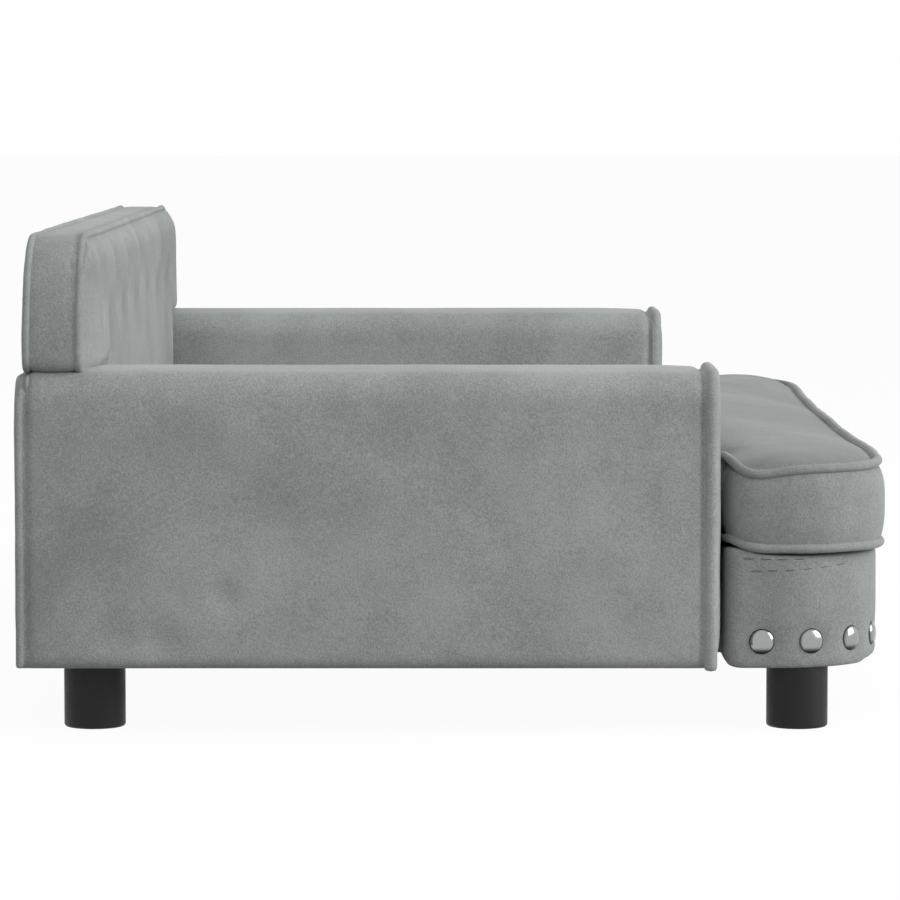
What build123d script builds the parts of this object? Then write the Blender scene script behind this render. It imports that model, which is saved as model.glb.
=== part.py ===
from build123d import *
import os

os.makedirs("parts", exist_ok=True)

# A dog sofa bed: an upholstered T-shaped base, two box arms, a tufted back and a loose seat cushion.
# Millimetres. X runs across the width, -Y is the front, +Z is up, and the origin lies on the floor under
# the middle of the sofa's box.

# overall sizes
overall_width = 900
overall_depth = 536
overall_height = 304
arm_width = 105
back_rise = 81
deck_height = 108
foot_height = 40

# cloth, foam, cords and gaps
cover_thickness = 1.5
foam_thickness = 6
front_cord_diameter = 6.5
rear_cord_diameter = 5.2
back_cord_diameter = 5
cushion_cord_diameter = 6
cord_proud = 2.2
skin_gap = 0.3
fit_gap = 0.2
overrun = 5

# wood
rail_thickness = 18
panel_thickness = 5
deck_board_thickness = 9
backing_board_thickness = 3
rail_height = 40

# base, with the ears that lie in front of the arms
base_front_step = 4.6
base_side_step = 22
base_corner_radius = 66
base_ear_radius = 8
base_notch_radius = 3
base_hem_radius = 6
base_rear_step = 6
base_arm_gap = 0.5
ear_gap = 2.5
hem_turn = 24
deck_cloth_step = 20
dust_cover_thickness = 0.6
dust_cover_step = 10

# arms
arm_setback = 110.6
arm_panel_bulge = 6.5
arm_panel_edge = 4
arm_corner_radius = 16
arm_hem_radius = 6
arm_crown = 3
arm_cord_hang = 2
arm_rear_panel_thickness = 4
least_radius = 2

# back
back_side_step = 8
back_rear_step = 4.3
back_depth = 34.2
back_bulge = 8.5
back_boxing_bulge = 2
back_top_radius = 50
back_ear_radius = 10
back_notch_radius = 4
back_foot_radius = 6
back_arm_gap = 0.6
back_seat_gap = 0.4
back_cord_proud = 1.5
back_board_step = 4.5

# tufts in the back
tuft_pitch = 118
tuft_upper_count = 7
tuft_top_step = 29
tuft_row_drop = 38
tuft_depth = 8
dimple_radius = 36
button_diameter = 18
button_height = 4
button_rim = 1.6
shank_diameter = 2.4

# seat cushion
cushion_side_step = 20
cushion_slide_gap = 2
cushion_back_gap = 4.5
cushion_boxing_height = 55.5
cushion_boxing_bulge = 6
cushion_crown = 9
cushion_front_draw = 2
cushion_corner_radius = 60
cushion_ear_radius = 20
cushion_notch_radius = 6
cushion_rear_radius = 24
cushion_cord_step = 3.6
cushion_cord_drop = 1.5
cushion_core_gap = 0.9

# zip in the rear boxing of the cushion
zip_length = 500
zip_tape_height = 10
zip_tape_thickness = 1.2
zip_chain_height = 4
zip_chain_thickness = 0.9
slider_length = 12
slider_height = 8
slider_thickness = 2.7
slider_cheek = 0.3
puller_length = 24
puller_height = 6
puller_thickness = 1.2
zip_end_margin = 8

# nailheads along the apron
nail_count = 31
nail_diameter = 16
nail_height = 4
nail_shank_diameter = 1.8
nail_shank_length = 13
nail_row_height = 15
nail_end_step = 22.1

# feet, bolts and nuts
foot_diameter = 38
foot_edge_radius = 2
foot_side_step = 46
foot_front_step = 56
foot_rear_step = 45
bolt_diameter = 8
foot_bolt_sunk = 22
bolt_past_nut = 4
bolt_head_diameter = 13
bolt_head_height = 8
nut_flange_diameter = 20
nut_flange_thickness = 1.6
nut_barrel_diameter = 11
nut_barrel_length = 4.6
nut_well_diameter = 24
arm_bolt_height = 34
arm_bolt_front_step = 48
arm_bolt_rear_step = 45
arm_bolt_shares = (0, 0.5, 1)
back_bolt_length = 66
back_bolt_reach = 32
back_bolt_shares = (-0.8, -0.35, 0.35, 0.8)

# hand-chosen shares: where sections stand, and how far a crown has risen there
pillow_place_shares = (-1, -0.85, -0.5, 0, 0.5, 0.85, 1)
pillow_rise_shares = (0.1, 0.55, 0.9, 1, 0.9, 0.55, 0.1)
cushion_level_shares = (0, 0.25, 0.5, 0.75, 1, 1.3)
back_level_shares = (0, 0.25, 0.5, 0.75, 1)
panel_inset_shares = (0, 0.05, 0.3, 1)
panel_level_shares = (0, 0.45, 0.82, 1)

# places that follow from the sizes
arm_height = overall_height - back_rise
half_width = overall_width / 2
front_y = -overall_depth / 2
rear_y = overall_depth / 2
arm_inner_x = half_width - arm_width
arm_outer_x = half_width - cord_proud
arm_middle_x = (arm_inner_x + arm_outer_x) / 2
front_cord_y = front_y + arm_setback
arm_front_y = front_cord_y - arm_panel_bulge
rear_cord_y = rear_y - rear_cord_diameter / 2
arm_cover_front = front_cord_y + front_cord_diameter / 2 + fit_gap
arm_cover_rear = rear_cord_y - rear_cord_diameter / 2 - fit_gap
arm_rear_frame = arm_cover_rear - skin_gap - arm_rear_panel_thickness
front_cord_inset = front_cord_diameter / 2 - cord_proud
rear_cord_inset = rear_cord_diameter / 2 - cord_proud
ear_rear_y = arm_front_y - ear_gap

base_front_y = front_y + base_front_step
base_rear_y = rear_y - base_rear_step
base_half_ear = half_width - base_side_step
base_half_stem = arm_inner_x - base_arm_gap
base_bottom = foot_height + dust_cover_thickness
base_inner_bottom = base_bottom + cover_thickness
deck_top = deck_height - cover_thickness
deck_bottom = deck_top - deck_board_thickness
rail_bottom = base_bottom + base_hem_radius
frame_inset = cover_thickness + foam_thickness
stem_inset = cover_thickness + skin_gap
side_rail_x = base_half_stem - stem_inset
rear_rail_y = base_rear_y - stem_inset

arm_frame_inset = cover_thickness + skin_gap + foam_thickness
arm_rail_low = foot_height + cover_thickness
arm_rail_top = arm_rail_low + rail_thickness
arm_panel_top = arm_height - arm_crown - arm_corner_radius
arm_frame_inner = arm_inner_x + arm_frame_inset
arm_frame_outer = arm_outer_x - arm_frame_inset
arm_panel_border = arm_width / 5

back_rear_y = rear_y - back_rear_step
back_seam_y = back_rear_y - back_depth
back_front_y = back_seam_y - back_bulge
back_top = overall_height
back_half_ear = half_width - back_side_step
back_half_stem = arm_inner_x - back_arm_gap
back_ear_z = arm_height + back_seat_gap
back_cord_inset = back_cord_diameter / 2 - back_cord_proud + back_boxing_bulge
back_panel_inset = back_cord_inset + back_cord_diameter / 2 + fit_gap
back_frame_rear = back_rear_y - cover_thickness
back_frame_front = back_frame_rear - rail_thickness
back_board_front = back_frame_front - backing_board_thickness
tuft_floor_y = back_front_y + tuft_depth
tuft_upper_z = back_top - tuft_top_step
tuft_lower_z = tuft_upper_z - tuft_row_drop

cushion_half_ear = half_width - cushion_side_step
cushion_half_stem = arm_inner_x - cushion_slide_gap
cushion_rear_y = back_front_y - cushion_back_gap
cushion_seam_z = deck_height + cushion_boxing_height
cushion_middle_z = deck_height + cushion_boxing_height / 2
cushion_top_cord_z = cushion_seam_z - cushion_cord_drop
cushion_bottom_cord_z = deck_height + cushion_cord_diameter / 2
cushion_corner_share = 1 - cushion_corner_radius / cushion_half_ear
cushion_corner_y = front_y - cushion_front_draw * (1 - cushion_corner_share**2)
cushion_panel_inset = cushion_cord_step + cushion_cord_diameter / 2 + fit_gap
core_inset = cover_thickness + cushion_core_gap

foot_x = half_width - foot_side_step
foot_front_y = front_y + foot_front_step
foot_rear_y = rear_y - foot_rear_step
foot_places = {
    "foot_front_left": (-foot_x, foot_front_y),
    "foot_front_right": (foot_x, foot_front_y),
    "foot_rear_left": (-foot_x, foot_rear_y),
    "foot_rear_right": (foot_x, foot_rear_y),
}
sides = {"left": -1, "right": 1}

nail_row_z = foot_height + nail_row_height
nail_row_y = ear_rear_y - nail_end_step
bolt_hole_diameter = bolt_diameter + 2 * fit_gap
nut_hole_diameter = nut_barrel_diameter + 2 * fit_gap
arm_bolt_z = foot_height + arm_bolt_height
arm_bolt_start_x = side_rail_x - rail_thickness
arm_nut_x = arm_frame_inner + panel_thickness
arm_bolt_length = arm_nut_x + nut_flange_thickness + bolt_past_nut - arm_bolt_start_x
arm_bolt_front = ear_rear_y + arm_bolt_front_step
arm_bolt_rear = rear_y - arm_bolt_rear_step
arm_bolt_ys = [arm_bolt_front + share * (arm_bolt_rear - arm_bolt_front) for share in arm_bolt_shares]
foot_bolt_bottom = foot_height - foot_bolt_sunk
foot_bolt_length = arm_rail_top + nut_flange_thickness + bolt_past_nut - foot_bolt_bottom
back_bolt_xs = [share * side_rail_x for share in back_bolt_shares]
back_bolt_y = (back_frame_front + back_frame_rear) / 2
back_bolt_start = deck_height + back_bolt_reach - back_bolt_length


# shapes that several pieces share


def block(x0, x1, y0, y1, z0, z1):
    """A plain board between two corners."""
    middle = Pos((x0 + x1) / 2, (y0 + y1) / 2, (z0 + z1) / 2)
    return middle * Box(abs(x1 - x0), abs(y1 - y0), abs(z1 - z0))


def rod(start, direction, length, diameter):
    """A round bar from a point along a direction."""
    ends = (Align.CENTER, Align.CENTER, Align.MIN)
    return Plane(origin=start, z_dir=direction) * Cylinder(diameter / 2, length, align=ends)


def rounded(face, corners, radius):
    """The face with the corners nearest to the given points rounded."""
    near = [face.vertices().sort_by_distance(point)[0] for point in corners]
    return fillet(near, radius)


def rounded_t(half_stem, half_ear, front, notch, rear, sag, radii):
    """A T-shaped face: ears along its front edge, which is drawn in by a sag, and a stem to its rear."""
    points = [(half_ear, front), (half_ear, notch), (half_stem, notch), (half_stem, rear)]
    points += [(-x, y) for x, y in reversed(points)]
    edges = [Line(a, b) for a, b in zip(points[:-1], points[1:])]
    if sag:
        edges.append(ThreePointArc(points[-1], (0, front + sag), points[0]))
    else:
        edges.append(Line(points[-1], points[0]))
    face = make_face(edges)
    for (x, y), radius in zip(points[:4], radii):
        face = rounded(face, [(x, y), (-x, y)], radius)
    return face


def pillow(half_length, near, far, low, seam, rise, across):
    """A slab with a crowned top, lofted through sections from end to end along X."""
    sections = []
    for place, share in zip(pillow_place_shares, pillow_rise_shares):
        plane = Plane((place * half_length, 0, 0), x_dir=across, z_dir=(1, 0, 0))
        crown = ThreePointArc((far, seam), ((near + far) / 2, seam + rise * share), (near, seam))
        sides_and_bottom = Polyline((near, seam), (near, low), (far, low), (far, seam))
        sections.append(plane * make_face([*sides_and_bottom.edges(), crown]))
    return loft(sections)


def cord(path, diameter):
    """A round piping cord along a path of lines and tangent arcs."""
    return sweep(Plane(origin=path @ 0, z_dir=path % 0) * Circle(diameter / 2), path=path)


def save(name, *solids):
    """Writes one sub-part, which may be a group of separate solids."""
    pieces = [piece for solid in solids for piece in solid.solids()]
    shape = pieces[0] if len(pieces) == 1 else Compound(children=pieces)
    shape.label = name
    export_step(shape, f"parts/{name}.step")


# fasteners and the holes that they need


def bolt(start, direction, length):
    """A round-headed bolt: its head lies before the start point."""
    shank = rod(start, direction, length, bolt_diameter)
    head_start = Vector(*start) - Vector(*direction) * bolt_head_height
    return shank + rod(head_start, direction, bolt_head_height, bolt_head_diameter)


def t_nut(place, direction):
    """A flanged nut: the flange lies past the place, and the barrel reaches back into the wood."""
    barrel_start = Vector(*place) - Vector(*direction) * nut_barrel_length
    barrel = rod(barrel_start, direction, nut_barrel_length, nut_barrel_diameter)
    flange = rod(place, direction, nut_flange_thickness, nut_flange_diameter)
    hole = rod(barrel_start, direction, nut_barrel_length + nut_flange_thickness, bolt_hole_diameter)
    return barrel + flange - hole


def arm_bolt_holes():
    """Holes for the bolts that hold both arms to the base's side rails."""
    length = arm_bolt_length + overrun
    return [
        rod((side * arm_bolt_start_x, y, arm_bolt_z), (side, 0, 0), length, bolt_hole_diameter)
        for side in sides.values()
        for y in arm_bolt_ys
    ]


def foot_bolt_holes():
    """Holes for the four studs that hold the feet."""
    length = foot_bolt_length + overrun
    starts = [(x, y, foot_bolt_bottom) for x, y in foot_places.values()]
    return [rod(start, (0, 0, 1), length, bolt_hole_diameter) for start in starts]


def back_bolt_holes():
    """Holes for the bolts that hold the back to the base's rear rail."""
    length = back_bolt_length + fit_gap
    starts = [(x, back_bolt_y, back_bolt_start) for x in back_bolt_xs]
    return [rod(start, (0, 0, 1), length, bolt_hole_diameter) for start in starts]


# base


def base_outline(inset):
    """The base's T-shaped plan, drawn in by an inset."""
    radii = (
        base_corner_radius - inset,
        max(base_ear_radius - inset, least_radius),
        base_notch_radius + inset,
        max(base_ear_radius - inset, least_radius),
    )
    return rounded_t(
        base_half_stem - inset,
        base_half_ear - inset,
        base_front_y + inset,
        ear_rear_y - inset,
        base_rear_y - inset,
        0,
        radii,
    )


def base_block(inset, low, high):
    """The base's plan between two heights."""
    return Pos(0, 0, low) * extrude(base_outline(inset), high - low)


def nail_places():
    """Where each nail sits on the apron, and the direction that its shank goes in."""
    corner_x = base_half_ear - base_corner_radius
    corner_y = base_front_y + base_corner_radius
    straight = nail_row_y - corner_y
    corner = Edge.make_circle(base_corner_radius).length / 4
    length = 2 * (straight + corner + corner_x)
    places = []
    for number in range(nail_count):
        along = length * number / (nail_count - 1)
        side = -1 if along < length / 2 else 1
        along = min(along, length - along)
        if along < straight:
            place = Vector(base_half_ear, nail_row_y - along, nail_row_z)
            inward = Vector(-1, 0, 0)
        elif along < straight + corner:
            turn = 90 * (along - straight) / corner
            outward = Vector(1, 0, 0).rotate(Axis.Z, -turn)
            place = Vector(corner_x, corner_y, nail_row_z) + outward * base_corner_radius
            inward = -outward
        else:
            place = Vector(corner_x - (along - straight - corner), base_front_y, nail_row_z)
            inward = Vector(0, 1, 0)
        places.append((Vector(side * place.X, place.Y, place.Z), Vector(side * inward.X, inward.Y, 0)))
    return places


def nail_holes():
    """Holes for the nails' shanks."""
    diameter = nail_shank_diameter + 2 * fit_gap
    return [
        rod(place - inward * overrun, inward, nail_shank_length + overrun, diameter)
        for place, inward in nail_places()
    ]


def nailhead(place, inward):
    """A domed nail: a cap of a sphere that lies on the cloth, on a thin shank."""
    dome_radius = (nail_diameter**2 / 4 + nail_height**2) / (2 * nail_height)
    face = place - inward * fit_gap
    dome = Plane(origin=face + inward * (dome_radius - nail_height), z_dir=inward) * Sphere(dome_radius)
    reach = nail_height + overrun
    outside = rod(face - inward * reach, inward, reach, nail_diameter + overrun)
    return (dome & outside) + rod(face, inward, nail_shank_length, nail_shank_diameter)


def make_base():
    """The wooden frame of the base, its foam, cloth and nails."""
    bolt_holes = arm_bolt_holes()
    nails = nail_holes()

    outside = base_block(0, base_bottom, deck_height)
    outside = fillet(outside.edges().group_by(Axis.Z)[0], base_hem_radius)
    inside = base_block(cover_thickness, base_inner_bottom, deck_top)
    inside = fillet(inside.edges().group_by(Axis.Z)[0], base_hem_radius - cover_thickness)
    opening = base_block(hem_turn, base_bottom - overrun, deck_top - overrun)
    top_opening = base_block(deck_cloth_step, deck_top - overrun, deck_height + overrun)
    cover = outside - inside - opening - top_opening
    save("base_cover", cover - bolt_holes - foot_bolt_holes() - back_bolt_holes() - nails)
    save("deck_cloth", base_block(deck_cloth_step, deck_top, deck_height))
    save("dust_cover", base_block(dust_cover_step, foot_height, base_bottom) - foot_bolt_holes())

    board = rounded_t(
        side_rail_x,
        base_half_ear - frame_inset,
        base_front_y + frame_inset,
        ear_rear_y - frame_inset,
        rear_rail_y,
        0,
        (base_corner_radius - frame_inset, least_radius, least_radius, base_ear_radius - stem_inset),
    )
    foam_band = base_block(stem_inset, rail_bottom, deck_top)
    foam_band -= Pos(0, 0, rail_bottom) * extrude(board, deck_top - rail_bottom)
    foam_band &= block(-half_width, half_width, front_y, ear_rear_y, 0, overall_height)
    save("base_front_foam", foam_band - nails)
    deck = Pos(0, 0, deck_bottom) * extrude(board, deck_board_thickness)
    save("base_deck", deck - back_bolt_holes())

    frame_front = base_front_y + frame_inset
    block_inner = side_rail_x - rail_thickness
    block_rear = ear_rear_y - frame_inset
    well = nut_well_diameter
    for name, side in sides.items():
        corner = Pos(0, 0, base_inner_bottom) * extrude(board, deck_bottom - base_inner_bottom)
        corner &= block(side * block_inner, side * half_width, frame_front, block_rear, 0, deck_bottom)
        corner -= foot_bolt_holes() + nails
        corner -= rod((side * foot_x, foot_front_y, arm_rail_top), (0, 0, 1), deck_bottom, well)
        corner -= rod((side * foot_x, foot_front_y, foot_height), (0, 0, 1), deck_bottom, nut_hole_diameter)
        save(f"base_corner_block_{name}", corner)

    front_rail_rear = frame_front + rail_thickness
    rail_low = base_inner_bottom
    front_rail = block(-block_inner, block_inner, frame_front, front_rail_rear, rail_low, deck_bottom)
    save("base_front_rail", front_rail - nails)
    rear_rail_front = rear_rail_y - rail_thickness
    rear_rail = block(-block_inner, block_inner, rear_rail_front, rear_rail_y, rail_bottom, deck_bottom)
    head_well = bolt_head_diameter + 2 * fit_gap
    head_starts = [(x, back_bolt_y, back_bolt_start) for x in back_bolt_xs]
    head_wells = [rod(start, (0, 0, -1), back_bolt_start, head_well) for start in head_starts]
    save("base_rear_rail", rear_rail - back_bolt_holes() - head_wells)
    frame = Pos(0, 0, rail_bottom) * extrude(board, deck_bottom - rail_bottom)
    side_rails = []
    for side in sides.values():
        rail = frame & block(side * block_inner, side * side_rail_x, block_rear, rear_rail_y, 0, deck_bottom)
        side_rails.append(rail - bolt_holes)
    save("base_side_rails", *side_rails)
    half_rail = rail_thickness / 2
    centre = block(-half_rail, half_rail, front_rail_rear, rear_rail_front, rail_bottom, deck_bottom)
    save("base_centre_rail", centre)
    save("nailheads", *[nailhead(place, inward) for place, inward in nail_places()])


# feet and fasteners


def make_feet():
    """Four round feet on studs, with the nuts that take the studs and the arm bolts."""
    for name, (x, y) in foot_places.items():
        foot = Pos(x, y, foot_height / 2) * Cylinder(foot_diameter / 2, foot_height)
        foot = fillet(foot.edges().group_by(Axis.Z)[0], foot_edge_radius)
        save(name, foot - rod((x, y, foot_bolt_bottom), (0, 0, 1), foot_height, bolt_hole_diameter))
    up = (0, 0, 1)
    studs = []
    nuts = []
    for x, y in foot_places.values():
        studs.append(rod((x, y, foot_bolt_bottom), up, foot_bolt_length, bolt_diameter))
        nuts.append(t_nut((x, y, arm_rail_top), up))
    save("foot_bolts", *studs)
    arm_bolts = []
    for side in sides.values():
        outward = (side, 0, 0)
        for y in arm_bolt_ys:
            arm_bolts.append(bolt((side * arm_bolt_start_x, y, arm_bolt_z), outward, arm_bolt_length))
            nuts.append(t_nut((side * arm_nut_x, y, arm_bolt_z), outward))
    save("arm_bolts", *arm_bolts)
    save("t_nuts", *nuts)
    back_starts = [(x, back_bolt_y, back_bolt_start) for x in back_bolt_xs]
    save("back_bolts", *[bolt(start, up, back_bolt_length) for start in back_starts])


# arms


def arm_profile(inset, bottom_radius, inner_step=0):
    """The right arm seen from the front: upright sides, a crowned top, rounded corners."""
    left = arm_inner_x + inset + inner_step
    right = arm_outer_x - inset
    low = foot_height + inset
    edge = arm_height - arm_crown - inset
    crown = ThreePointArc((right, edge), (arm_middle_x, edge + arm_crown), (left, edge))
    outline = Polyline((left, edge), (left, low), (right, low), (right, edge))
    face = make_face([*outline.edges(), crown])
    face = rounded(face, [(left, edge), (right, edge)], max(arm_corner_radius - inset, least_radius))
    return rounded(face, [(left, low), (right, low)], bottom_radius)


def arm_slice(inset, y0, y1):
    """The arm's profile between two places along Y."""
    face = arm_profile(inset, max(arm_hem_radius - inset, least_radius))
    plane = Plane((0, y0, 0), x_dir=(1, 0, 0), z_dir=(0, -1, 0))
    return extrude(plane * face, y1 - y0, dir=(0, 1, 0))


def arm_loop(inset, diameter, y):
    """A piping cord's path up the arm's outer side, over its top and down its inner side, flush there."""
    left = arm_inner_x + diameter / 2
    right = arm_outer_x - inset
    low = foot_height - arm_cord_hang
    edge = arm_height - arm_crown - inset
    crown = ThreePointArc((right, edge), (arm_middle_x, edge + arm_crown), (left, edge))
    face = make_face([*Polyline((left, edge), (left, low), (right, low), (right, edge)).edges(), crown])
    face = rounded(face, [(left, edge), (right, edge)], arm_corner_radius - inset)
    plane = Plane((0, y, 0), x_dir=(1, 0, 0), z_dir=(0, -1, 0))
    loop = (plane * face).edges().sort_by(lambda edge: edge.center().Z)[1:]
    return Wire(loop)


def arm_front_panel():
    """The padded front panel, crowned forward inside its loop of piping."""
    edge_inset = front_cord_inset + front_cord_diameter / 2 + fit_gap
    depth = arm_cover_front - arm_front_y
    sections = []
    for inset_share, level_share in zip(panel_inset_shares, panel_level_shares):
        inset = edge_inset + inset_share * arm_panel_border
        plane = Plane((0, arm_cover_front - level_share * depth, 0), x_dir=(1, 0, 0), z_dir=(0, -1, 0))
        sections.append(plane * arm_profile(inset, arm_panel_edge, cord_proud))
    return loft(sections)


def make_arm(name, side):
    """One arm, modelled on the right and mirrored for the left."""
    bolts = arm_bolt_holes() + foot_bolt_holes()
    nut_holes = [
        rod((arm_nut_x, y, arm_bolt_z), (-1, 0, 0), panel_thickness, nut_hole_diameter) for y in arm_bolt_ys
    ]
    foot_nut_hole = rod((foot_x, foot_rear_y, arm_rail_low), (0, 0, 1), rail_thickness, nut_hole_diameter)
    front = arm_cover_front
    rear = arm_rear_frame
    cover = arm_slice(0, front, arm_cover_rear) - arm_slice(cover_thickness, front - overrun, rear_y)
    foam = arm_slice(stem_inset, front, rear) - arm_slice(arm_frame_inset, front - overrun, rear_y)
    foam -= block(arm_inner_x, half_width, front_y, rear_y, 0, arm_rail_top)
    rail_outer = arm_frame_outer - panel_thickness
    outer = block(rail_outer, arm_frame_outer, front, rear, arm_rail_low, arm_panel_top)
    inner = block(arm_frame_inner, arm_nut_x, front, rear, arm_rail_low, arm_panel_top)
    top = arm_slice(arm_frame_inset + skin_gap, front, rear)
    top &= block(arm_inner_x, half_width, front_y, rear_y, arm_panel_top, overall_height)
    bottom = block(arm_nut_x, rail_outer, front, rear, arm_rail_low, arm_rail_top)
    post_ys = ((front, front + rail_thickness), (rear - rail_thickness, rear))
    posts = [block(arm_nut_x, rail_outer, y0, y1, arm_rail_top, arm_panel_top) for y0, y1 in post_ys]
    rear_inset = rear_cord_inset + rear_cord_diameter / 2 + fit_gap
    front_loop = arm_loop(front_cord_inset, front_cord_diameter, front_cord_y)
    rear_loop = arm_loop(rear_cord_inset, rear_cord_diameter, rear_cord_y)
    pieces = {
        "cover": [cover - bolts],
        "foam": [foam - bolts],
        "outer_panel": [outer],
        "inner_panel": [inner - bolts - nut_holes],
        "top_rail": [top],
        "bottom_rail": [bottom - bolts - foot_nut_hole],
        "posts": posts,
        "front_panel": [arm_front_panel()],
        "rear_panel": [arm_slice(rear_inset, rear, rear + arm_rear_panel_thickness)],
        "front_piping": [cord(front_loop, front_cord_diameter)],
        "rear_piping": [cord(rear_loop, rear_cord_diameter)],
    }
    for piece, solids in pieces.items():
        if side < 0:
            solids = [mirror(solid, Plane.YZ) for solid in solids]
        save(f"arm_{name}_{piece}", *solids)


# back


def back_outline(inset, y):
    """The back seen from the front, a T whose ears lie on the arms, in an upright plane at y."""
    radii = (
        back_top_radius - inset,
        back_ear_radius - inset,
        back_notch_radius + inset,
        max(back_foot_radius - inset, least_radius),
    )
    face = rounded_t(
        back_half_stem - inset,
        back_half_ear - inset,
        inset - back_top,
        -back_ear_z - inset,
        -deck_height - inset,
        0,
        radii,
    )
    return Plane((0, y, 0), x_dir=(1, 0, 0), z_dir=(0, 1, 0)) * face


def tuft_places():
    """The buttons in two rows, the lower one between the upper one's buttons."""
    upper = [(number - (tuft_upper_count - 1) / 2) * tuft_pitch for number in range(tuft_upper_count)]
    lower = [(number - (tuft_upper_count - 2) / 2) * tuft_pitch for number in range(tuft_upper_count - 1)]
    return [(x, tuft_upper_z) for x in upper], [(x, tuft_lower_z) for x in lower]


def back_padding(inset):
    """The padded front of the back, drawn in by an inset: its crown and a round dimple at each button."""
    upper, lower = tuft_places()
    dimple_y = tuft_floor_y - dimple_radius
    dimples = [Pos(x, dimple_y, z) * Sphere(dimple_radius + inset) for x, z in upper + lower]
    crown = pillow(
        back_half_ear,
        deck_height,
        back_top,
        inset - back_rear_y,
        -back_seam_y - inset,
        back_bulge,
        (0, 0, 1),
    )
    return crown - dimples


def back_boxing(inset):
    """The back's T shape between its two seams, drawn in by an inset, with its edges bulging a little."""
    sections = []
    for share in back_level_shares:
        draw = back_boxing_bulge * (2 * share - 1) ** 2
        sections.append(back_outline(draw + inset, back_seam_y + share * back_depth))
    return loft(sections)


def back_slab(inset, y0, y1):
    """The back's T shape between two places along Y."""
    return extrude(back_outline(inset, y0), y1 - y0, dir=(0, 1, 0))


def button(x, z):
    """A covered button: a domed cap on a rim, and the shank that holds it to the backing board."""
    seat_y = tuft_floor_y - button_rim
    rim = rod((x, seat_y, z), (0, -1, 0), button_rim, button_diameter)
    dome_height = button_height - button_rim
    dome_radius = (button_diameter**2 / 4 + dome_height**2) / (2 * dome_height)
    dome_base = seat_y - button_rim
    dome = Pos(x, dome_base - dome_height + dome_radius, z) * Sphere(dome_radius)
    dome &= rod((x, dome_base, z), (0, -1, 0), button_height, button_diameter)
    return rim + dome + rod((x, seat_y, z), (0, 1, 0), back_board_front - seat_y, shank_diameter)


def make_back():
    """The back's frame, board, foam, cover, cords and buttons."""
    upper, lower = tuft_places()
    places = upper + lower
    hole = shank_diameter + 2 * fit_gap
    shanks = [rod((x, back_front_y, z), (0, 1, 0), back_board_front - back_front_y, hole) for x, z in places]
    everywhere = half_width + overrun
    rear_cord_at = back_rear_y - back_cord_diameter / 2
    cord_room = back_cord_diameter / 2 + fit_gap
    save("back_front_piping", cord(back_outline(back_cord_inset, back_seam_y).wire(), back_cord_diameter))
    save("back_rear_piping", cord(back_outline(back_cord_inset, rear_cord_at).wire(), back_cord_diameter))

    front_panel = back_padding(0) - back_padding(cover_thickness)
    front_panel &= back_slab(back_panel_inset, front_y, back_board_front)
    boxing = back_boxing(0) - back_boxing(cover_thickness)
    boxing_front = back_seam_y + cord_room
    boxing_rear = rear_cord_at - cord_room
    boxing &= block(-everywhere, everywhere, boxing_front, boxing_rear, 0, overall_height + overrun)
    save("back_cover", front_panel - shanks, boxing - back_bolt_holes())

    foam = back_padding(cover_thickness + skin_gap) & back_slab(back_panel_inset, front_y, back_board_front)
    save("back_foam", foam - shanks)
    save("back_buttons", *[button(x, z) for x, z in places])

    inner = back_board_step + back_boxing_bulge
    save("back_board", back_slab(inner, back_board_front, back_frame_front))
    frame = back_slab(inner, back_frame_front, back_frame_rear)
    rail_low = back_top - inner - rail_height
    stem_low = deck_height + inner
    top_rail = frame & block(-everywhere, everywhere, 0, rear_y, rail_low, overall_height)
    bottom_rail = frame & block(-everywhere, everywhere, 0, rear_y, 0, stem_low + rail_height)
    save("back_top_rail", top_rail)
    save("back_bottom_rail", bottom_rail - back_bolt_holes())
    posts = []
    for centre_share in (-1, 0, 1):
        x = centre_share * (back_half_stem - inner - rail_height / 2)
        post = block(
            x - rail_height / 2,
            x + rail_height / 2,
            back_frame_front,
            back_frame_rear,
            stem_low + rail_height,
            rail_low,
        )
        posts.append(post)
    save("back_posts", *posts)
    save("back_rear_panel", back_slab(back_panel_inset, back_frame_rear, back_rear_y))


# seat cushion


def cushion_outline(inset):
    """The cushion's T-shaped plan, with its front edge drawn in at the middle."""
    radii = (
        cushion_corner_radius - inset,
        max(cushion_ear_radius - inset, least_radius),
        cushion_notch_radius + inset,
        max(cushion_rear_radius - inset, least_radius),
    )
    return rounded_t(
        cushion_half_stem - inset,
        cushion_half_ear - inset,
        cushion_corner_y + inset,
        ear_rear_y - inset,
        cushion_rear_y - inset,
        cushion_front_draw,
        radii,
    )


def cushion_boxing(inset):
    """The cushion's plan from its bottom to past its crown, drawn in by an inset, with bulging sides."""
    sections = []
    for share in cushion_level_shares:
        draw = cushion_boxing_bulge * (2 * share - 1) ** 2
        level = deck_height + share * cushion_boxing_height
        sections.append(Pos(0, 0, level) * cushion_outline(draw + inset))
    return loft(sections)


def cushion_crown_slab(inset):
    """A slab between the cushion's flat bottom and its crowned top, drawn in by an inset."""
    return pillow(
        cushion_half_ear,
        front_y,
        cushion_rear_y,
        deck_height + inset,
        cushion_seam_z - inset,
        cushion_crown,
        (0, 1, 0),
    )


def zip_strip(height, thickness, outer_y):
    """A strip of the zip's length in the rear boxing, whose outer face lies at outer_y."""
    half = zip_length / 2
    low = cushion_middle_z - height / 2
    return block(-half, half, outer_y - thickness, outer_y, low, low + height)


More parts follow.
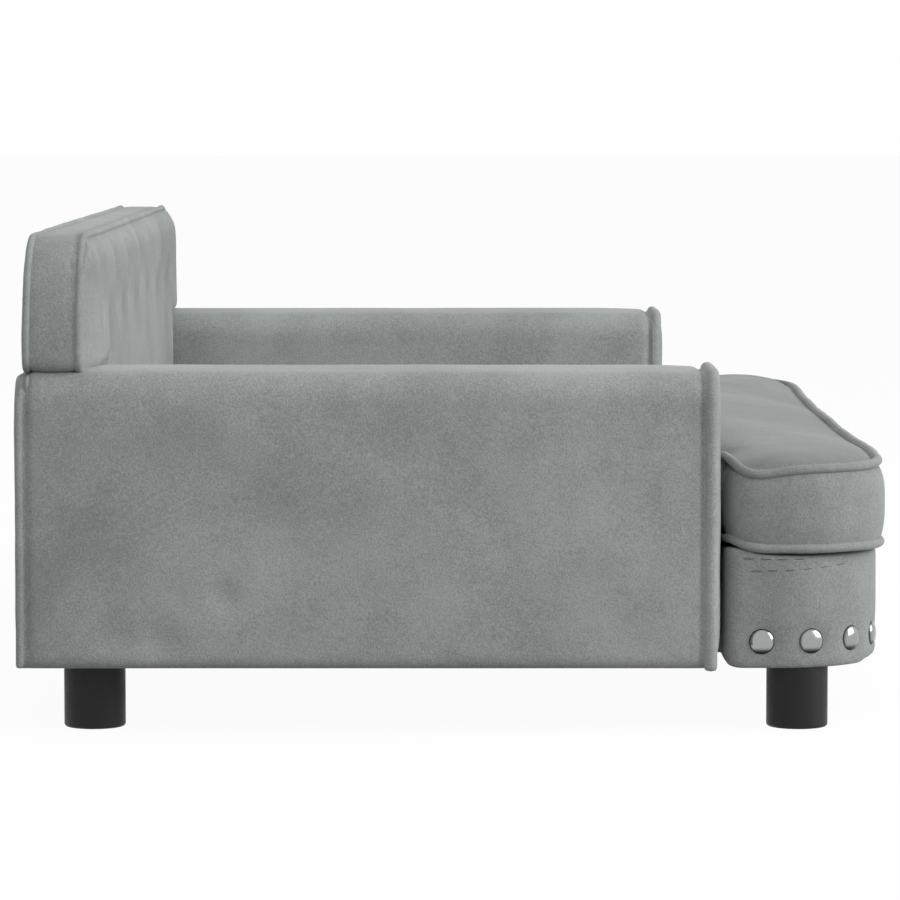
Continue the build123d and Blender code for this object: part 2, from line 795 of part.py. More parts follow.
def make_zip():
    """The zip's tape and chain, and its slider with a puller, closed at the right end."""
    tape_y = cushion_rear_y - fit_gap
    chain_y = tape_y + zip_chain_thickness
    tape = zip_strip(zip_tape_height, zip_tape_thickness, tape_y)
    chain = zip_strip(zip_chain_height, zip_chain_thickness, chain_y)
    save("cushion_zip", tape + chain)

    end_x = zip_length / 2 - zip_end_margin
    start_x = end_x - slider_length
    back_y = tape_y + slider_cheek
    low = cushion_middle_z - slider_height / 2
    slider = block(start_x, end_x, back_y, back_y + slider_thickness, low, low + slider_height)
    channel = zip_chain_height + 2 * slider_cheek
    channel_low = cushion_middle_z - channel / 2
    channel_y = chain_y + slider_cheek
    slider -= block(start_x, end_x, back_y, channel_y, channel_low, channel_low + channel)
    puller_low = cushion_middle_z - puller_height / 2
    puller_outer = back_y + slider_thickness
    puller = block(
        start_x - puller_length,
        start_x,
        puller_outer - puller_thickness,
        puller_outer,
        puller_low,
        puller_low + puller_height,
    )
    save("zip_slider", slider + puller)


def make_cushion():
    """The loose seat cushion: foam core, sewn cover, two piping cords and a zip."""
    cord_room = cushion_cord_diameter / 2 + fit_gap
    path = cushion_outline(cushion_cord_step)
    for name, level in (("top", cushion_top_cord_z), ("bottom", cushion_bottom_cord_z)):
        save(f"cushion_{name}_piping", cord((Pos(0, 0, level) * path).wire(), cushion_cord_diameter))

    everywhere = half_width + overrun
    panel = Pos(0, 0, deck_height) * extrude(cushion_outline(cushion_panel_inset), overall_height)
    top_panel = (cushion_crown_slab(0) - cushion_crown_slab(cover_thickness)) & panel
    top_panel &= block(-everywhere, everywhere, front_y, rear_y, cushion_middle_z, overall_height)
    bottom_panel = panel & block(
        -everywhere, everywhere, front_y, rear_y, deck_height, deck_height + cover_thickness
    )
    boxing_low = cushion_bottom_cord_z + cord_room
    boxing_high = cushion_top_cord_z - cord_room
    boxing = cushion_boxing(0) - cushion_boxing(cover_thickness)
    boxing &= block(-everywhere, everywhere, front_y - overrun, rear_y, boxing_low, boxing_high)
    slot_half = zip_length / 2 + fit_gap
    slot_low = cushion_middle_z - zip_tape_height / 2 - fit_gap
    slot_high = cushion_middle_z + zip_tape_height / 2 + fit_gap
    inner_y = cushion_rear_y - cover_thickness - overrun
    boxing -= block(-slot_half, slot_half, inner_y, rear_y, slot_low, slot_high)
    save("cushion_cover", top_panel, boxing, bottom_panel)
    save("cushion_core", cushion_boxing(core_inset) & cushion_crown_slab(core_inset))


make_base()
make_feet()
for arm_name, arm_side in sides.items():
    make_arm(arm_name, arm_side)
make_back()
make_cushion()
make_zip()
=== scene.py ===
import math

import bmesh
import bpy
from mathutils import Matrix, Vector, kdtree, noise


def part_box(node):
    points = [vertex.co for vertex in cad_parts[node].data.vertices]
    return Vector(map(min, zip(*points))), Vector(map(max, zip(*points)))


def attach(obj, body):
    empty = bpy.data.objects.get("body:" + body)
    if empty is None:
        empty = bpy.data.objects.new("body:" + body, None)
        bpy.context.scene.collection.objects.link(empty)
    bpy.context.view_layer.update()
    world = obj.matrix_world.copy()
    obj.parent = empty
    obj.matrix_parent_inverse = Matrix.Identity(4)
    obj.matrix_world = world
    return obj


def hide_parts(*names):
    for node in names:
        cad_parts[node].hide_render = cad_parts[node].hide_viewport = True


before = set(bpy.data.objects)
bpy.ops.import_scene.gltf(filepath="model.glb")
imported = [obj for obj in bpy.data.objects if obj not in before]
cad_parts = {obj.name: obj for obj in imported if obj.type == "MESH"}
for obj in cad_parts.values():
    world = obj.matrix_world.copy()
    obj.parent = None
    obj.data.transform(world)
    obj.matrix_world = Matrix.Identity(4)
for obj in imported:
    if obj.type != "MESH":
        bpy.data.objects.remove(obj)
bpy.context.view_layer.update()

bl_info = {
    "name": "Dog sofa bed",
    "version": (1, 0, 0),
    "blender": (4, 5, 0),
    "location": "3D View > Sidebar > Sofa",
    "description": "Builds the velvet, cords, buttons and nails of a small upholstered sofa for a dog",
    "category": "Object",
}

sides = {"left": -1, "right": 1}
arm_box = {side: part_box(f"arm_{side}_cover") for side in sides}
base_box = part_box("base_cover")
back_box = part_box("back_rear_panel")
cushion_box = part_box("cushion_cover")
ear_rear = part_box("base_front_foam")[1][1]
apron_radius = 0.066
apron_corner_x = base_box[1][0] - apron_radius
apron_corner_y = base_box[0][1] + apron_radius
back_radii = (0.06, 0.01, 0.014, 0.006)
stem_half = 0.3445
plan_step = 0.004


def length_prop(name, description, default):
    """A length that a user may change."""
    return bpy.props.FloatProperty(name=name, description=description, default=default, unit="LENGTH")


def power_prop(name, description, default):
    """The power of a lamp."""
    return bpy.props.FloatProperty(name=name, description=description, default=default, unit="POWER")


def colour_prop(name, description, default):
    """A colour that a user may change."""
    return bpy.props.FloatVectorProperty(name=name, description=description, default=default, subtype="COLOR")


class SofaSizes(bpy.types.PropertyGroup):
    """Sizes of the upholstery that a user may change."""

    front_cord: length_prop("Arm front cord", "Diameter of the cord in front of each arm", 0.0082)
    rear_cord: length_prop("Arm rear cord", "Diameter of the cord behind each arm", 0.0052)
    back_cord: length_prop("Back cord", "Diameter of the cords round the back", 0.005)
    cushion_cord: length_prop("Cushion cord", "Diameter of the seat cushion's cords", 0.006)
    cord_wobble: length_prop("Cord wobble", "How far a sewn cord wanders from its line", 0.0005)
    tuft_pitch: length_prop("Tuft pitch", "Distance between two buttons of a row", 0.118)
    tuft_upper: length_prop("Upper buttons", "Height of the upper row of buttons", 0.275)
    tuft_lower: length_prop("Lower buttons", "Height of the lower row of buttons", 0.237)
    tuft_depth: length_prop("Tuft depth", "How deep each button is pulled in", 0.008)
    fold_depth: length_prop("Fold depth", "How deep the folds between the buttons are", 0.0018)
    button_size: length_prop("Button size", "Diameter of a covered button", 0.018)
    nail_size: length_prop("Nail size", "Diameter of a nailhead", 0.016)
    stitch_length: length_prop("Stitch length", "Length of one running stitch", 0.0075)
    stitch_gap: length_prop("Stitch gap", "Gap between two running stitches", 0.003)


class SofaColours(bpy.types.PropertyGroup):
    """Colours of the sofa's finishes."""

    velvet_light: colour_prop("Velvet, light", "Velvet where the nap lies down", (0.36, 0.373, 0.366))
    velvet_dark: colour_prop("Velvet, dark", "Velvet where the nap stands up", (0.2, 0.205, 0.195))
    foot_black: colour_prop("Foot", "Moulded plastic of the feet", (0.0065, 0.0065, 0.0065))
    chrome: colour_prop("Nails", "Polished nailheads", (0.36, 0.37, 0.37))
    wood: colour_prop("Plywood", "Plywood of the frame", (0.62, 0.45, 0.28))


class SofaStage(bpy.types.PropertyGroup):
    """The floor, the lamps and the camera."""

    floor_colour: colour_prop("Floor", "Colour of the floor", (0.42, 0.42, 0.42))
    key_power: power_prop("Key lamp", "Power of the large lamp over the front", 76.0)
    fill_power: power_prop("Fill lamp", "Power of the lamp beside the camera", 31.0)
    top_power: power_prop("Top lamp", "Power of the lamp overhead", 11.0)
    camera_distance: length_prop("Camera distance", "Distance of the camera from the middle", 3.25)
    camera_height: length_prop("Camera height", "Height of the camera", 0.3858)
    camera_aside: length_prop("Camera aside", "How far the camera stands from the middle plane", 0.003)
    camera_tilt: bpy.props.FloatProperty(
        name="Camera tilt",
        description="How far the camera looks down",
        default=math.radians(4.31),
        subtype="ANGLE",
    )
    camera_lens: bpy.props.FloatProperty(
        name="Camera lens", description="Focal length of the camera in millimetres", default=184.94
    )


class Value:
    """A number that varies over a surface. Arithmetic on it adds Math nodes."""

    def __init__(self, finish, socket):
        self.finish = finish
        self.socket = socket

    def maths(self, operation, first, second):
        node = self.finish.add("ShaderNodeMath", {0: first, 1: second}, operation=operation)
        return Value(self.finish, node.outputs[0])

    def __add__(self, other):
        return self.maths("ADD", self, other)

    def __sub__(self, other):
        return self.maths("SUBTRACT", self, other)

    def __rsub__(self, other):
        return self.maths("SUBTRACT", other, self)

    def __mul__(self, other):
        return self.maths("MULTIPLY", self, other)


def add_node(tree, kind, inputs, **settings):
    """Adds a node: its settings first, then the values or links of its sockets."""
    node = tree.nodes.new(kind)
    for name, value in settings.items():
        setattr(node, name, value)
    for name, value in inputs.items():
        if isinstance(value, Value):
            value = value.socket
        if isinstance(value, bpy.types.NodeSocket):
            tree.links.new(value, node.inputs[name])
        else:
            node.inputs[name].default_value = value
    return node


class Finish:
    """A procedural material of the sofa, with one shader."""

    def __init__(self, name, **constants):
        self.material = bpy.data.materials.new(name)
        self.material.use_nodes = True
        self.tree = self.material.node_tree
        self.shader = self.tree.nodes["Principled BSDF"]
        for socket, value in constants.items():
            self.shader.inputs[socket.replace("_", " ")].default_value = value
        self.place = self.add("ShaderNodeTexCoord", {}).outputs["Object"]

    def add(self, kind, inputs, **settings):
        """Adds a node to the material."""
        return add_node(self.tree, kind, inputs, **settings)

    def stretched(self, scale):
        """The object coordinates, scaled along each axis."""
        return self.add("ShaderNodeMapping", {"Vector": self.place, "Scale": scale}).outputs["Vector"]

    def cloud(self, scale, detail=2.0, roughness=0.5, distortion=0.0, place=None):
        """Noise between 0 and 1."""
        inputs = {"Vector": place or self.place, "Scale": scale, "Detail": detail}
        inputs |= {"Roughness": roughness, "Distortion": distortion}
        return Value(self, self.add("ShaderNodeTexNoise", inputs).outputs[0])

    def bands(self, direction, inputs):
        """Wavy bands across an axis."""
        node = self.add("ShaderNodeTexWave", inputs, wave_type="BANDS", bands_direction=direction)
        return Value(self, node.outputs["Fac"])

    def ramp(self, value, *stops):
        """A colour from a number."""
        node = self.add("ShaderNodeValToRGB", {"Fac": value})
        elements = node.color_ramp.elements
        while len(elements) < len(stops):
            elements.new(1)
        for element, (position, shade) in zip(elements, stops):
            element.position = position
            element.color = (*shade, 1)
        return node.outputs["Color"]

    def level(self, value, low, high, out_low=0.0, out_high=1.0):
        """A number moved smoothly from one range to another."""
        inputs = {"Value": value, "From Min": low, "From Max": high, "To Min": out_low, "To Max": out_high}
        node = self.add("ShaderNodeMapRange", inputs, interpolation_type="SMOOTHSTEP")
        return Value(self, node.outputs["Result"])

    def bump(self, height, distance, strength=1.0, under=None):
        """A normal from a height."""
        inputs = {"Height": height, "Distance": distance, "Strength": strength}
        if under is not None:
            inputs["Normal"] = under
        return self.add("ShaderNodeBump", inputs).outputs["Normal"]

    def feed(self, **values):
        """Links what varies to the shader."""
        for name, value in values.items():
            socket = value.socket if isinstance(value, Value) else value
            self.tree.links.new(socket, self.shader.inputs[name.replace("_", " ")])
        return self.material


def tinted(shade, share):
    """A colour made darker or lighter, but no lighter than white."""
    return [min(share * part, 1) for part in shade]


def velvet(name, light, dark, grain_scale=850.0, painted_shade_above=None):
    """Short-pile velvet: strokes, mottling and a fine pile. Above a height it may be darkened, as painted
    shade on its lit top.
    """
    finish = Finish(
        name,
        Sheen_Weight=0.28,
        Sheen_Roughness=0.45,
        Sheen_Tint=(0.9, 0.94, 0.95, 1),
        Specular_IOR_Level=0.12,
    )
    strokes = finish.cloud(5.0, 3.0, 0.55, 0.6)
    mottle = finish.cloud(34.0, 4.0, 0.6, 0.3)
    fleck = finish.cloud(240.0, 2.0, 0.6)
    pile = finish.cloud(grain_scale, 2.0, 0.6)
    tone = finish.level(strokes * 0.38 + mottle * 0.14 + fleck * 0.1 + pile * 0.38, 0.34, 0.66)
    # Painted shade: above a height the velvet is made darker, so that its lit top looks dimmer.
    if painted_shade_above is not None:
        blend = 0.006
        height = finish.add("ShaderNodeSeparateXYZ", {"Vector": finish.place}).outputs["Z"]
        tone = tone - finish.level(height, painted_shade_above - blend, painted_shade_above + blend) * 0.42
    between = [0.45 * a + 0.55 * b for a, b in zip(dark, light)]
    shades = finish.ramp(tone, (0.0, dark), (0.55, between), (1.0, light))
    rough = finish.level(pile * 0.5 + mottle * 0.5, 0.3, 0.7, 0.78, 0.96)
    normal = finish.bump(pile * 0.85 + fleck * 0.3, 0.00035, 0.75, finish.bump(mottle, 0.0003))
    return finish.feed(Base_Color=shades, Roughness=rough, Normal=normal)


def moulded_plastic(name, colour):
    """Moulded black plastic with a faint orange-peel surface."""
    finish = Finish(name, Specular_IOR_Level=0.28)
    peel = finish.cloud(420.0, 2.0)
    wear = finish.cloud(45.0, 4.0, 0.6)
    shades = finish.ramp(wear, (0.3, tinted(colour, 0.8)), (0.75, tinted(colour, 1.35)))
    rough = finish.level(wear * 0.6 + peel * 0.4, 0.3, 0.7, 0.42, 0.58)
    return finish.feed(Base_Color=shades, Roughness=rough, Normal=finish.bump(peel, 0.00008))


def polished_metal(name, colour):
    """Bright plated metal with faint smears and fine scratches, darkened where its attribute says: painted
    shade and painted dark reflection round the rim and low on each head.
    """
    finish = Finish(name, Metallic=1.0)
    smear = finish.cloud(160.0, 3.0)
    scratch = finish.cloud(900.0, 2.0, place=finish.stretched((1.0, 0.15, 3.0)))
    # The attribute carries painted shade: a dark rim and a dark crescent low on each nailhead stand in for
    # dark reflections.
    painted_dark_reflection = Value(finish, finish.add("ShaderNodeAttribute", {}, attribute_name="painted_dark_reflection").outputs["Fac"])
    shine = (smear * 0.15 + 0.9) * (1 - painted_dark_reflection)
    shades = finish.ramp(shine, (0.0, tinted(colour, 0.07)), (1.0, colour))
    rough = finish.level(smear * 0.7 + scratch * 0.3, 0.3, 0.75, 0.11, 0.2)
    return finish.feed(Base_Color=shades, Roughness=rough, Normal=finish.bump(scratch, 0.00001))


def dull_metal(name, colour, scale):
    """Zinc plate: a cloudy, slightly rough metal."""
    finish = Finish(name, Metallic=1.0)
    cloud = finish.cloud(scale, 4.0, 0.65)
    fine = finish.cloud(scale * 6, 2.0)
    shades = finish.ramp(cloud, (0.25, tinted(colour, 0.75)), (0.75, colour))
    rough = finish.level(cloud * 0.7 + fine * 0.3, 0.3, 0.7, 0.3, 0.5)
    return finish.feed(Base_Color=shades, Roughness=rough, Normal=finish.bump(fine, 0.00003))


def plywood(name, colour):
    """Plywood: long grain, growth bands and thin dark pores."""
    finish = Finish(name, Specular_IOR_Level=0.3)
    wander = finish.cloud(9.0, 3.0, place=finish.stretched((0.6, 4.0, 4.0)))
    grain = {"Vector": finish.stretched((0.4, 1.0, 1.0)), "Scale": 22.0, "Distortion": 5.0, "Detail": 3.0}
    bands = finish.bands("Z", grain)
    pores = finish.cloud(320.0, 3.0, 0.7, place=finish.stretched((0.08, 1.0, 1.0)))
    tone = wander * 0.4 + bands * 0.3 + pores * 0.3
    shades = finish.ramp(tone, (0.25, tinted(colour, 0.62)), (0.5, colour), (0.8, tinted(colour, 1.15)))
    rough = finish.level(pores, 0.3, 0.7, 0.6, 0.85)
    return finish.feed(Base_Color=shades, Roughness=rough, Normal=finish.bump(pores, 0.0002))


def woven(name, dark, light, pitch):
    """A thin woven or non-woven lining with crossing threads."""
    finish = Finish(name, Specular_IOR_Level=0.15, Sheen_Weight=0.1)
    waves = {"Vector": finish.place, "Scale": 1.0 / pitch}
    waves |= {"Distortion": 0.6, "Detail": 1.0, "Detail Scale": 30.0}
    weave = finish.bands("X", waves) * 0.5 + finish.bands("Y", waves) * 0.5
    cloud = finish.cloud(60.0, 3.0)
    shades = finish.ramp(weave * 0.6 + cloud * 0.4, (0.2, dark), (0.8, light))
    rough = finish.level(cloud, 0.3, 0.7, 0.8, 0.95)
    return finish.feed(Base_Color=shades, Roughness=rough, Normal=finish.bump(weave, pitch * 0.1))


finishes = {}
cord_grain = 1100.0


def finish_for(name):
    """Each finish is made once, when it is first wanted."""
    colours = bpy.context.scene.sofa_colours
    tones = colours.velvet_light, colours.velvet_dark
    # The seat's and the base's velvet is a darker copy of the same velvet: painted shade that dims them
    # against the arms and the back.
    shaded_seat_tones = [tinted(tone, 0.86) for tone in tones]
    makers = {
        "velvet": (velvet, *tones),
        # 0.16 is the height above which the seat's velvet gets painted shade on its top.
        "seat_velvet": (velvet, *shaded_seat_tones, 850.0, 0.16),
        "seat_cord_velvet": (velvet, *shaded_seat_tones, cord_grain),
        "cord_velvet": (velvet, *tones, cord_grain),
        "black_plastic": (moulded_plastic, colours.foot_black),
        "nail_chrome": (polished_metal, colours.chrome),
        "zinc": (dull_metal, (0.62, 0.62, 0.63), 160.0),
        "zip_metal": (dull_metal, (0.46, 0.46, 0.47), 500.0),
        "plywood": (plywood, colours.wood),
        "lining": (woven, (0.012, 0.012, 0.013), (0.04, 0.04, 0.042), 0.0012),
        "zip_tape": (woven, (0.14, 0.145, 0.14), (0.24, 0.245, 0.24), 0.0008),
        "thread": (woven, (0.1, 0.1, 0.097), (0.2, 0.2, 0.195), 0.0004),
    }
    if name not in finishes:
        make, *looks = makers[name]
        finishes[name] = make(name, *looks)
    return finishes[name]


def clamp(value):
    """A number kept between 0 and 1."""
    return max(0.0, min(1.0, value))


def hump(gap, width):
    """1 at no gap, falling smoothly to 0 past a width."""
    return math.exp(-((gap / width) ** 2))


def ripple(size, x, y, z):
    """A small steady unevenness, by the place in space."""
    return size * noise.noise(Vector((x, y, z)))


def spread(low, high):
    """The middle between two numbers, and half of their distance."""
    return (low + high) / 2, (high - low) / 2


def middle_of(node, axis):
    """The middle of a node's box along an axis."""
    low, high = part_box(node)
    return spread(low[axis], high[axis])[0]


def bent(place, scale, depth, seed=0.0):
    """A smooth wander in space: three steady noises."""
    spot = Vector(place) * scale + Vector((seed, 3.1 * seed, 7.7 * seed))
    return Vector(noise.noise_vector(spot)) * depth


def bump_at(place, centre, size):
    """1 at a centre, falling smoothly to 0 about a size away."""
    gap = (Vector(place) - Vector(centre)).length / size
    return math.exp(-gap * gap * 2)


def box_of(x0, x1, y0, y1, z0, z1):
    """A bmesh with one box between two corners."""
    bm = bmesh.new()
    bmesh.ops.create_cube(bm, size=1)
    bmesh.ops.scale(bm, vec=(x1 - x0, y1 - y0, z1 - z0), verts=bm.verts)
    bmesh.ops.translate(bm, vec=((x0 + x1) / 2, (y0 + y1) / 2, (z0 + z1) / 2), verts=bm.verts)
    return bm


def round_off(bm, geom, radius, segments, affect="VERTICES"):
    """Rounds corners of a flat plan, or edges of a solid."""
    bmesh.ops.bevel(
        bm, geom=geom, offset=radius, segments=segments, affect=affect, profile=0.5, material=-1,
        clamp_overlap=True,
    )


def rounded_plan(corners, radii, segments=8):
    """A bmesh with one flat face whose corners are rounded, pair by pair."""
    bm = bmesh.new()
    face = bm.faces.new([bm.verts.new((x, y, 0)) for x, y in corners])
    for (x, y), radius in zip(corners[: len(radii)], radii):
        near = [v for v in face.verts if abs(abs(v.co.x) - abs(x)) < 1e-6 and abs(v.co.y - y) < 1e-6]
        round_off(bm, near, radius, segments)
        bm.faces.ensure_lookup_table()
        face = bm.faces[0]
    return bm


def t_corners(half_stem, half_ear, front, notch, rear):
    """The corners of a T-shaped plan, with its right half first."""
    right = [(half_ear, front), (half_ear, notch), (half_stem, notch), (half_stem, rear)]
    return right + [(-x, y) for x, y in reversed(right)]


def raised(bm, low, high):
    """Turns a flat plan into a block between two heights."""
    bmesh.ops.translate(bm, vec=(0, 0, low), verts=bm.verts)
    top = bmesh.ops.extrude_face_region(bm, geom=list(bm.faces))["geom"]
    lifted = [v for v in top if isinstance(v, bmesh.types.BMVert)]
    bmesh.ops.translate(bm, vec=(0, 0, high - low), verts=lifted)
    bmesh.ops.recalc_face_normals(bm, faces=bm.faces)
    return bm


def plan_route(bm):
    """The points round a flat plan, in order."""
    bm.faces.ensure_lookup_table()
    route = [v.co.copy() for v in bm.faces[0].verts]
    bm.free()
    return route


def even_steps(points, step, closed):
    """Points at even steps along a route."""
    points = list(points) + ([points[0]] if closed else [])
    lengths = [(b - a).length for a, b in zip(points[:-1], points[1:])]
    total = sum(lengths)
    count = max(int(round(total / step)), 2)
    result = []
    index, passed = 0, 0.0
    for number in range(count if closed else count + 1):
        along = min(total * number / count, total - 1e-9)
        while passed + lengths[index] < along:
            passed += lengths[index]
            index += 1
        result.append(points[index].lerp(points[index + 1], (along - passed) / lengths[index]))
    return result


def edge_ring(bm, points, closed=True):
    """Vertices and edges along a line of points."""
    verts = [bm.verts.new(point) for point in points]
    pairs = list(zip(verts[:-1], verts[1:])) + ([(verts[-1], verts[0])] if closed else [])
    return verts, [bm.edges.new(pair) for pair in pairs]


def swept(rings, closed=True):
    """A skin through rings of equally many points, made by extruding the first one."""
    bm = bmesh.new()
    verts, edges = edge_ring(bm, rings[0], closed)
    for ring in rings[1:]:
        made = bmesh.ops.extrude_edge_only(bm, edges=edges)["geom"]
        fresh = {v for v in made if isinstance(v, bmesh.types.BMVert)}
        follow = []
        for vert in verts:
            follow.append(next(e.other_vert(vert) for e in vert.link_edges if e.other_vert(vert) in fresh))
        edges = [e for e in made if isinstance(e, bmesh.types.BMEdge)]
        edges = [e for e in edges if e.verts[0] in fresh and e.verts[1] in fresh]
        verts = follow
        for vert, point in zip(verts, ring):
            vert.co = point
    return bm


def as_object(name, bm):
    """A linked object with the bmesh's mesh."""
    bmesh.ops.recalc_face_normals(bm, faces=bm.faces)
    mesh = bpy.data.meshes.new(name)
    bm.to_mesh(mesh)
    bm.free()
    obj = bpy.data.objects.new(name, mesh)
    bpy.context.scene.collection.objects.link(obj)
    return obj


def smoothed(bm):
    """The same bmesh with each vertex moved halfway to its neighbours."""
    bmesh.ops.smooth_vert(bm, verts=bm.verts, factor=0.5, use_axis_x=True, use_axis_y=True, use_axis_z=True)
    return bm


def remeshed(bm, voxel, smooth):
    """The same solid as even, small faces."""
    source = as_object("to_remesh", bm)
    modifier = source.modifiers.new("voxels", "REMESH")
    modifier.mode = "VOXEL"
    modifier.voxel_size = voxel
    depsgraph = bpy.context.evaluated_depsgraph_get()
    mesh = bpy.data.meshes.new_from_object(source.evaluated_get(depsgraph))
    bpy.data.objects.remove(source)
    result = bmesh.new()
    result.from_mesh(mesh)
    bpy.data.meshes.remove(mesh)
    for _ in range(smooth):
        smoothed(result)
    return result


def soft_box(low, high, radius):
    """A box in even, small faces whose edges along Y are rounded."""
    bm = box_of(low[0], high[0], low[1], high[1], low[2], high[2])
    along = [e for e in bm.edges if abs(e.verts[0].co.y - e.verts[1].co.y) > 0.001]
    round_off(bm, along, radius, 5, "EDGES")
    return remeshed(bm, 0.003, 2)


def outward(route, up):
    """The directions out of a closed route that lies flat along X and another axis."""
    following = route[1:] + route[:1]
    turn = sum(a.x * b[up] - b.x * a[up] for a, b in zip(route, following))
    result = []
    for before, after in zip(route[-1:] + route[:-1], following):
        along = (after - before).normalized() * (1 if turn > 0 else -1)
        out = Vector((along[up], 0, 0))
        out[up] = -along.x
        result.append(out)
    return result


def turned(bm, profile, radius, axis, steps):
    """Spins a profile round an axis. Returns its vertices."""
    points = [Vector((share * radius, 0, 0)) + Vector(axis) * height for share, height in profile]
    verts, edges = edge_ring(bm, points, False)
    bmesh.ops.spin(
        bm, geom=verts + edges, cent=(0, 0, 0), axis=axis, dvec=(0, 0, 0), angle=math.tau, steps=steps,
        use_merge=True, use_duplicate=False,
    )
    own = [v for v in bm.verts if not v.tag]
    for vertex in own:
        vertex.tag = True
    return own


def finished(
    name, bm, replaces=(), fill=None, finish="velvet", slot="velvet", body="sofa_frame", subdivide=1
):
    """Makes a piece of the object from a bmesh, hangs it on its body's empty and hides the CAD parts that it
    replaces.
    """
    obj = as_object(name, bm)
    for polygon in obj.data.polygons:
        polygon.use_smooth = True
    obj.data.materials.append(finish_for(finish))
    if subdivide:
        modifier = obj.modifiers.new("smooth", "SUBSURF")
        modifier.levels = subdivide
        modifier.render_levels = subdivide
    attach(obj, body)
    if replaces:
        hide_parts(*replaces)
    return obj


def add_cord(bm, route, diameter, closed, wobble, seed, sides_round=12):
    """Adds a sewn cord along a route: a round tube that wanders and swells a little."""
    points = even_steps(route, plan_step, closed)
    rings = []
    count = len(points)
    for number, point in enumerate(points):
        before = points[number - 1] if closed or number else point
        after = points[(number + 1) % count] if closed or number + 1 < count else point
        along = (after - before).normalized()
        centre = point + bent(point, 22.0, wobble, seed) + bent(point, 90.0, wobble * 0.25, seed)
        swell = 1 + 0.07 * noise.noise(point * 60 + Vector((seed, 0, 0)))
        turn = along.to_track_quat("Z", "X").to_matrix().to_4x4()
        matrix = Matrix.Translation(centre) @ turn
        ring = bmesh.ops.create_circle(bm, segments=sides_round, radius=diameter / 2 * swell, matrix=matrix)
        rings.append(ring["verts"])
    pairs = list(zip(rings[:-1], rings[1:])) + ([(rings[-1], rings[0])] if closed else [])
    for ring_a, ring_b in pairs:
        edges_a = {e for v in ring_a for e in v.link_edges if e.other_vert(v) in ring_a}
        edges_b = {e for v in ring_b for e in v.link_edges if e.other_vert(v) in ring_b}
        bmesh.ops.bridge_loops(bm, edges=list(edges_a | edges_b))
    if not closed:
        for ring in (rings[0], rings[-1]):
            bm.faces.new(ring)


def sewn_cord(part, which, route, diameter, closed, seed, finish="cord_velvet", body="sofa_frame"):
    """A cord in the place of one of the CAD's pipings."""
    bm = bmesh.new()
    add_cord(bm, route, diameter, closed, bpy.context.scene.sofa_sizes.cord_wobble, seed)
    finished(f"{part}_{which}_cord", bm, (f"{part}_{which}_piping",), None, finish, "piping_cord", body)


def paint_cad(prefixes, finish):
    """Gives the carried-over pieces whose names start so a procedural finish."""
    for name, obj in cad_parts.items():
        if name.startswith(tuple(prefixes)):
            obj.data.materials.clear()
            obj.data.materials.append(finish_for(finish))


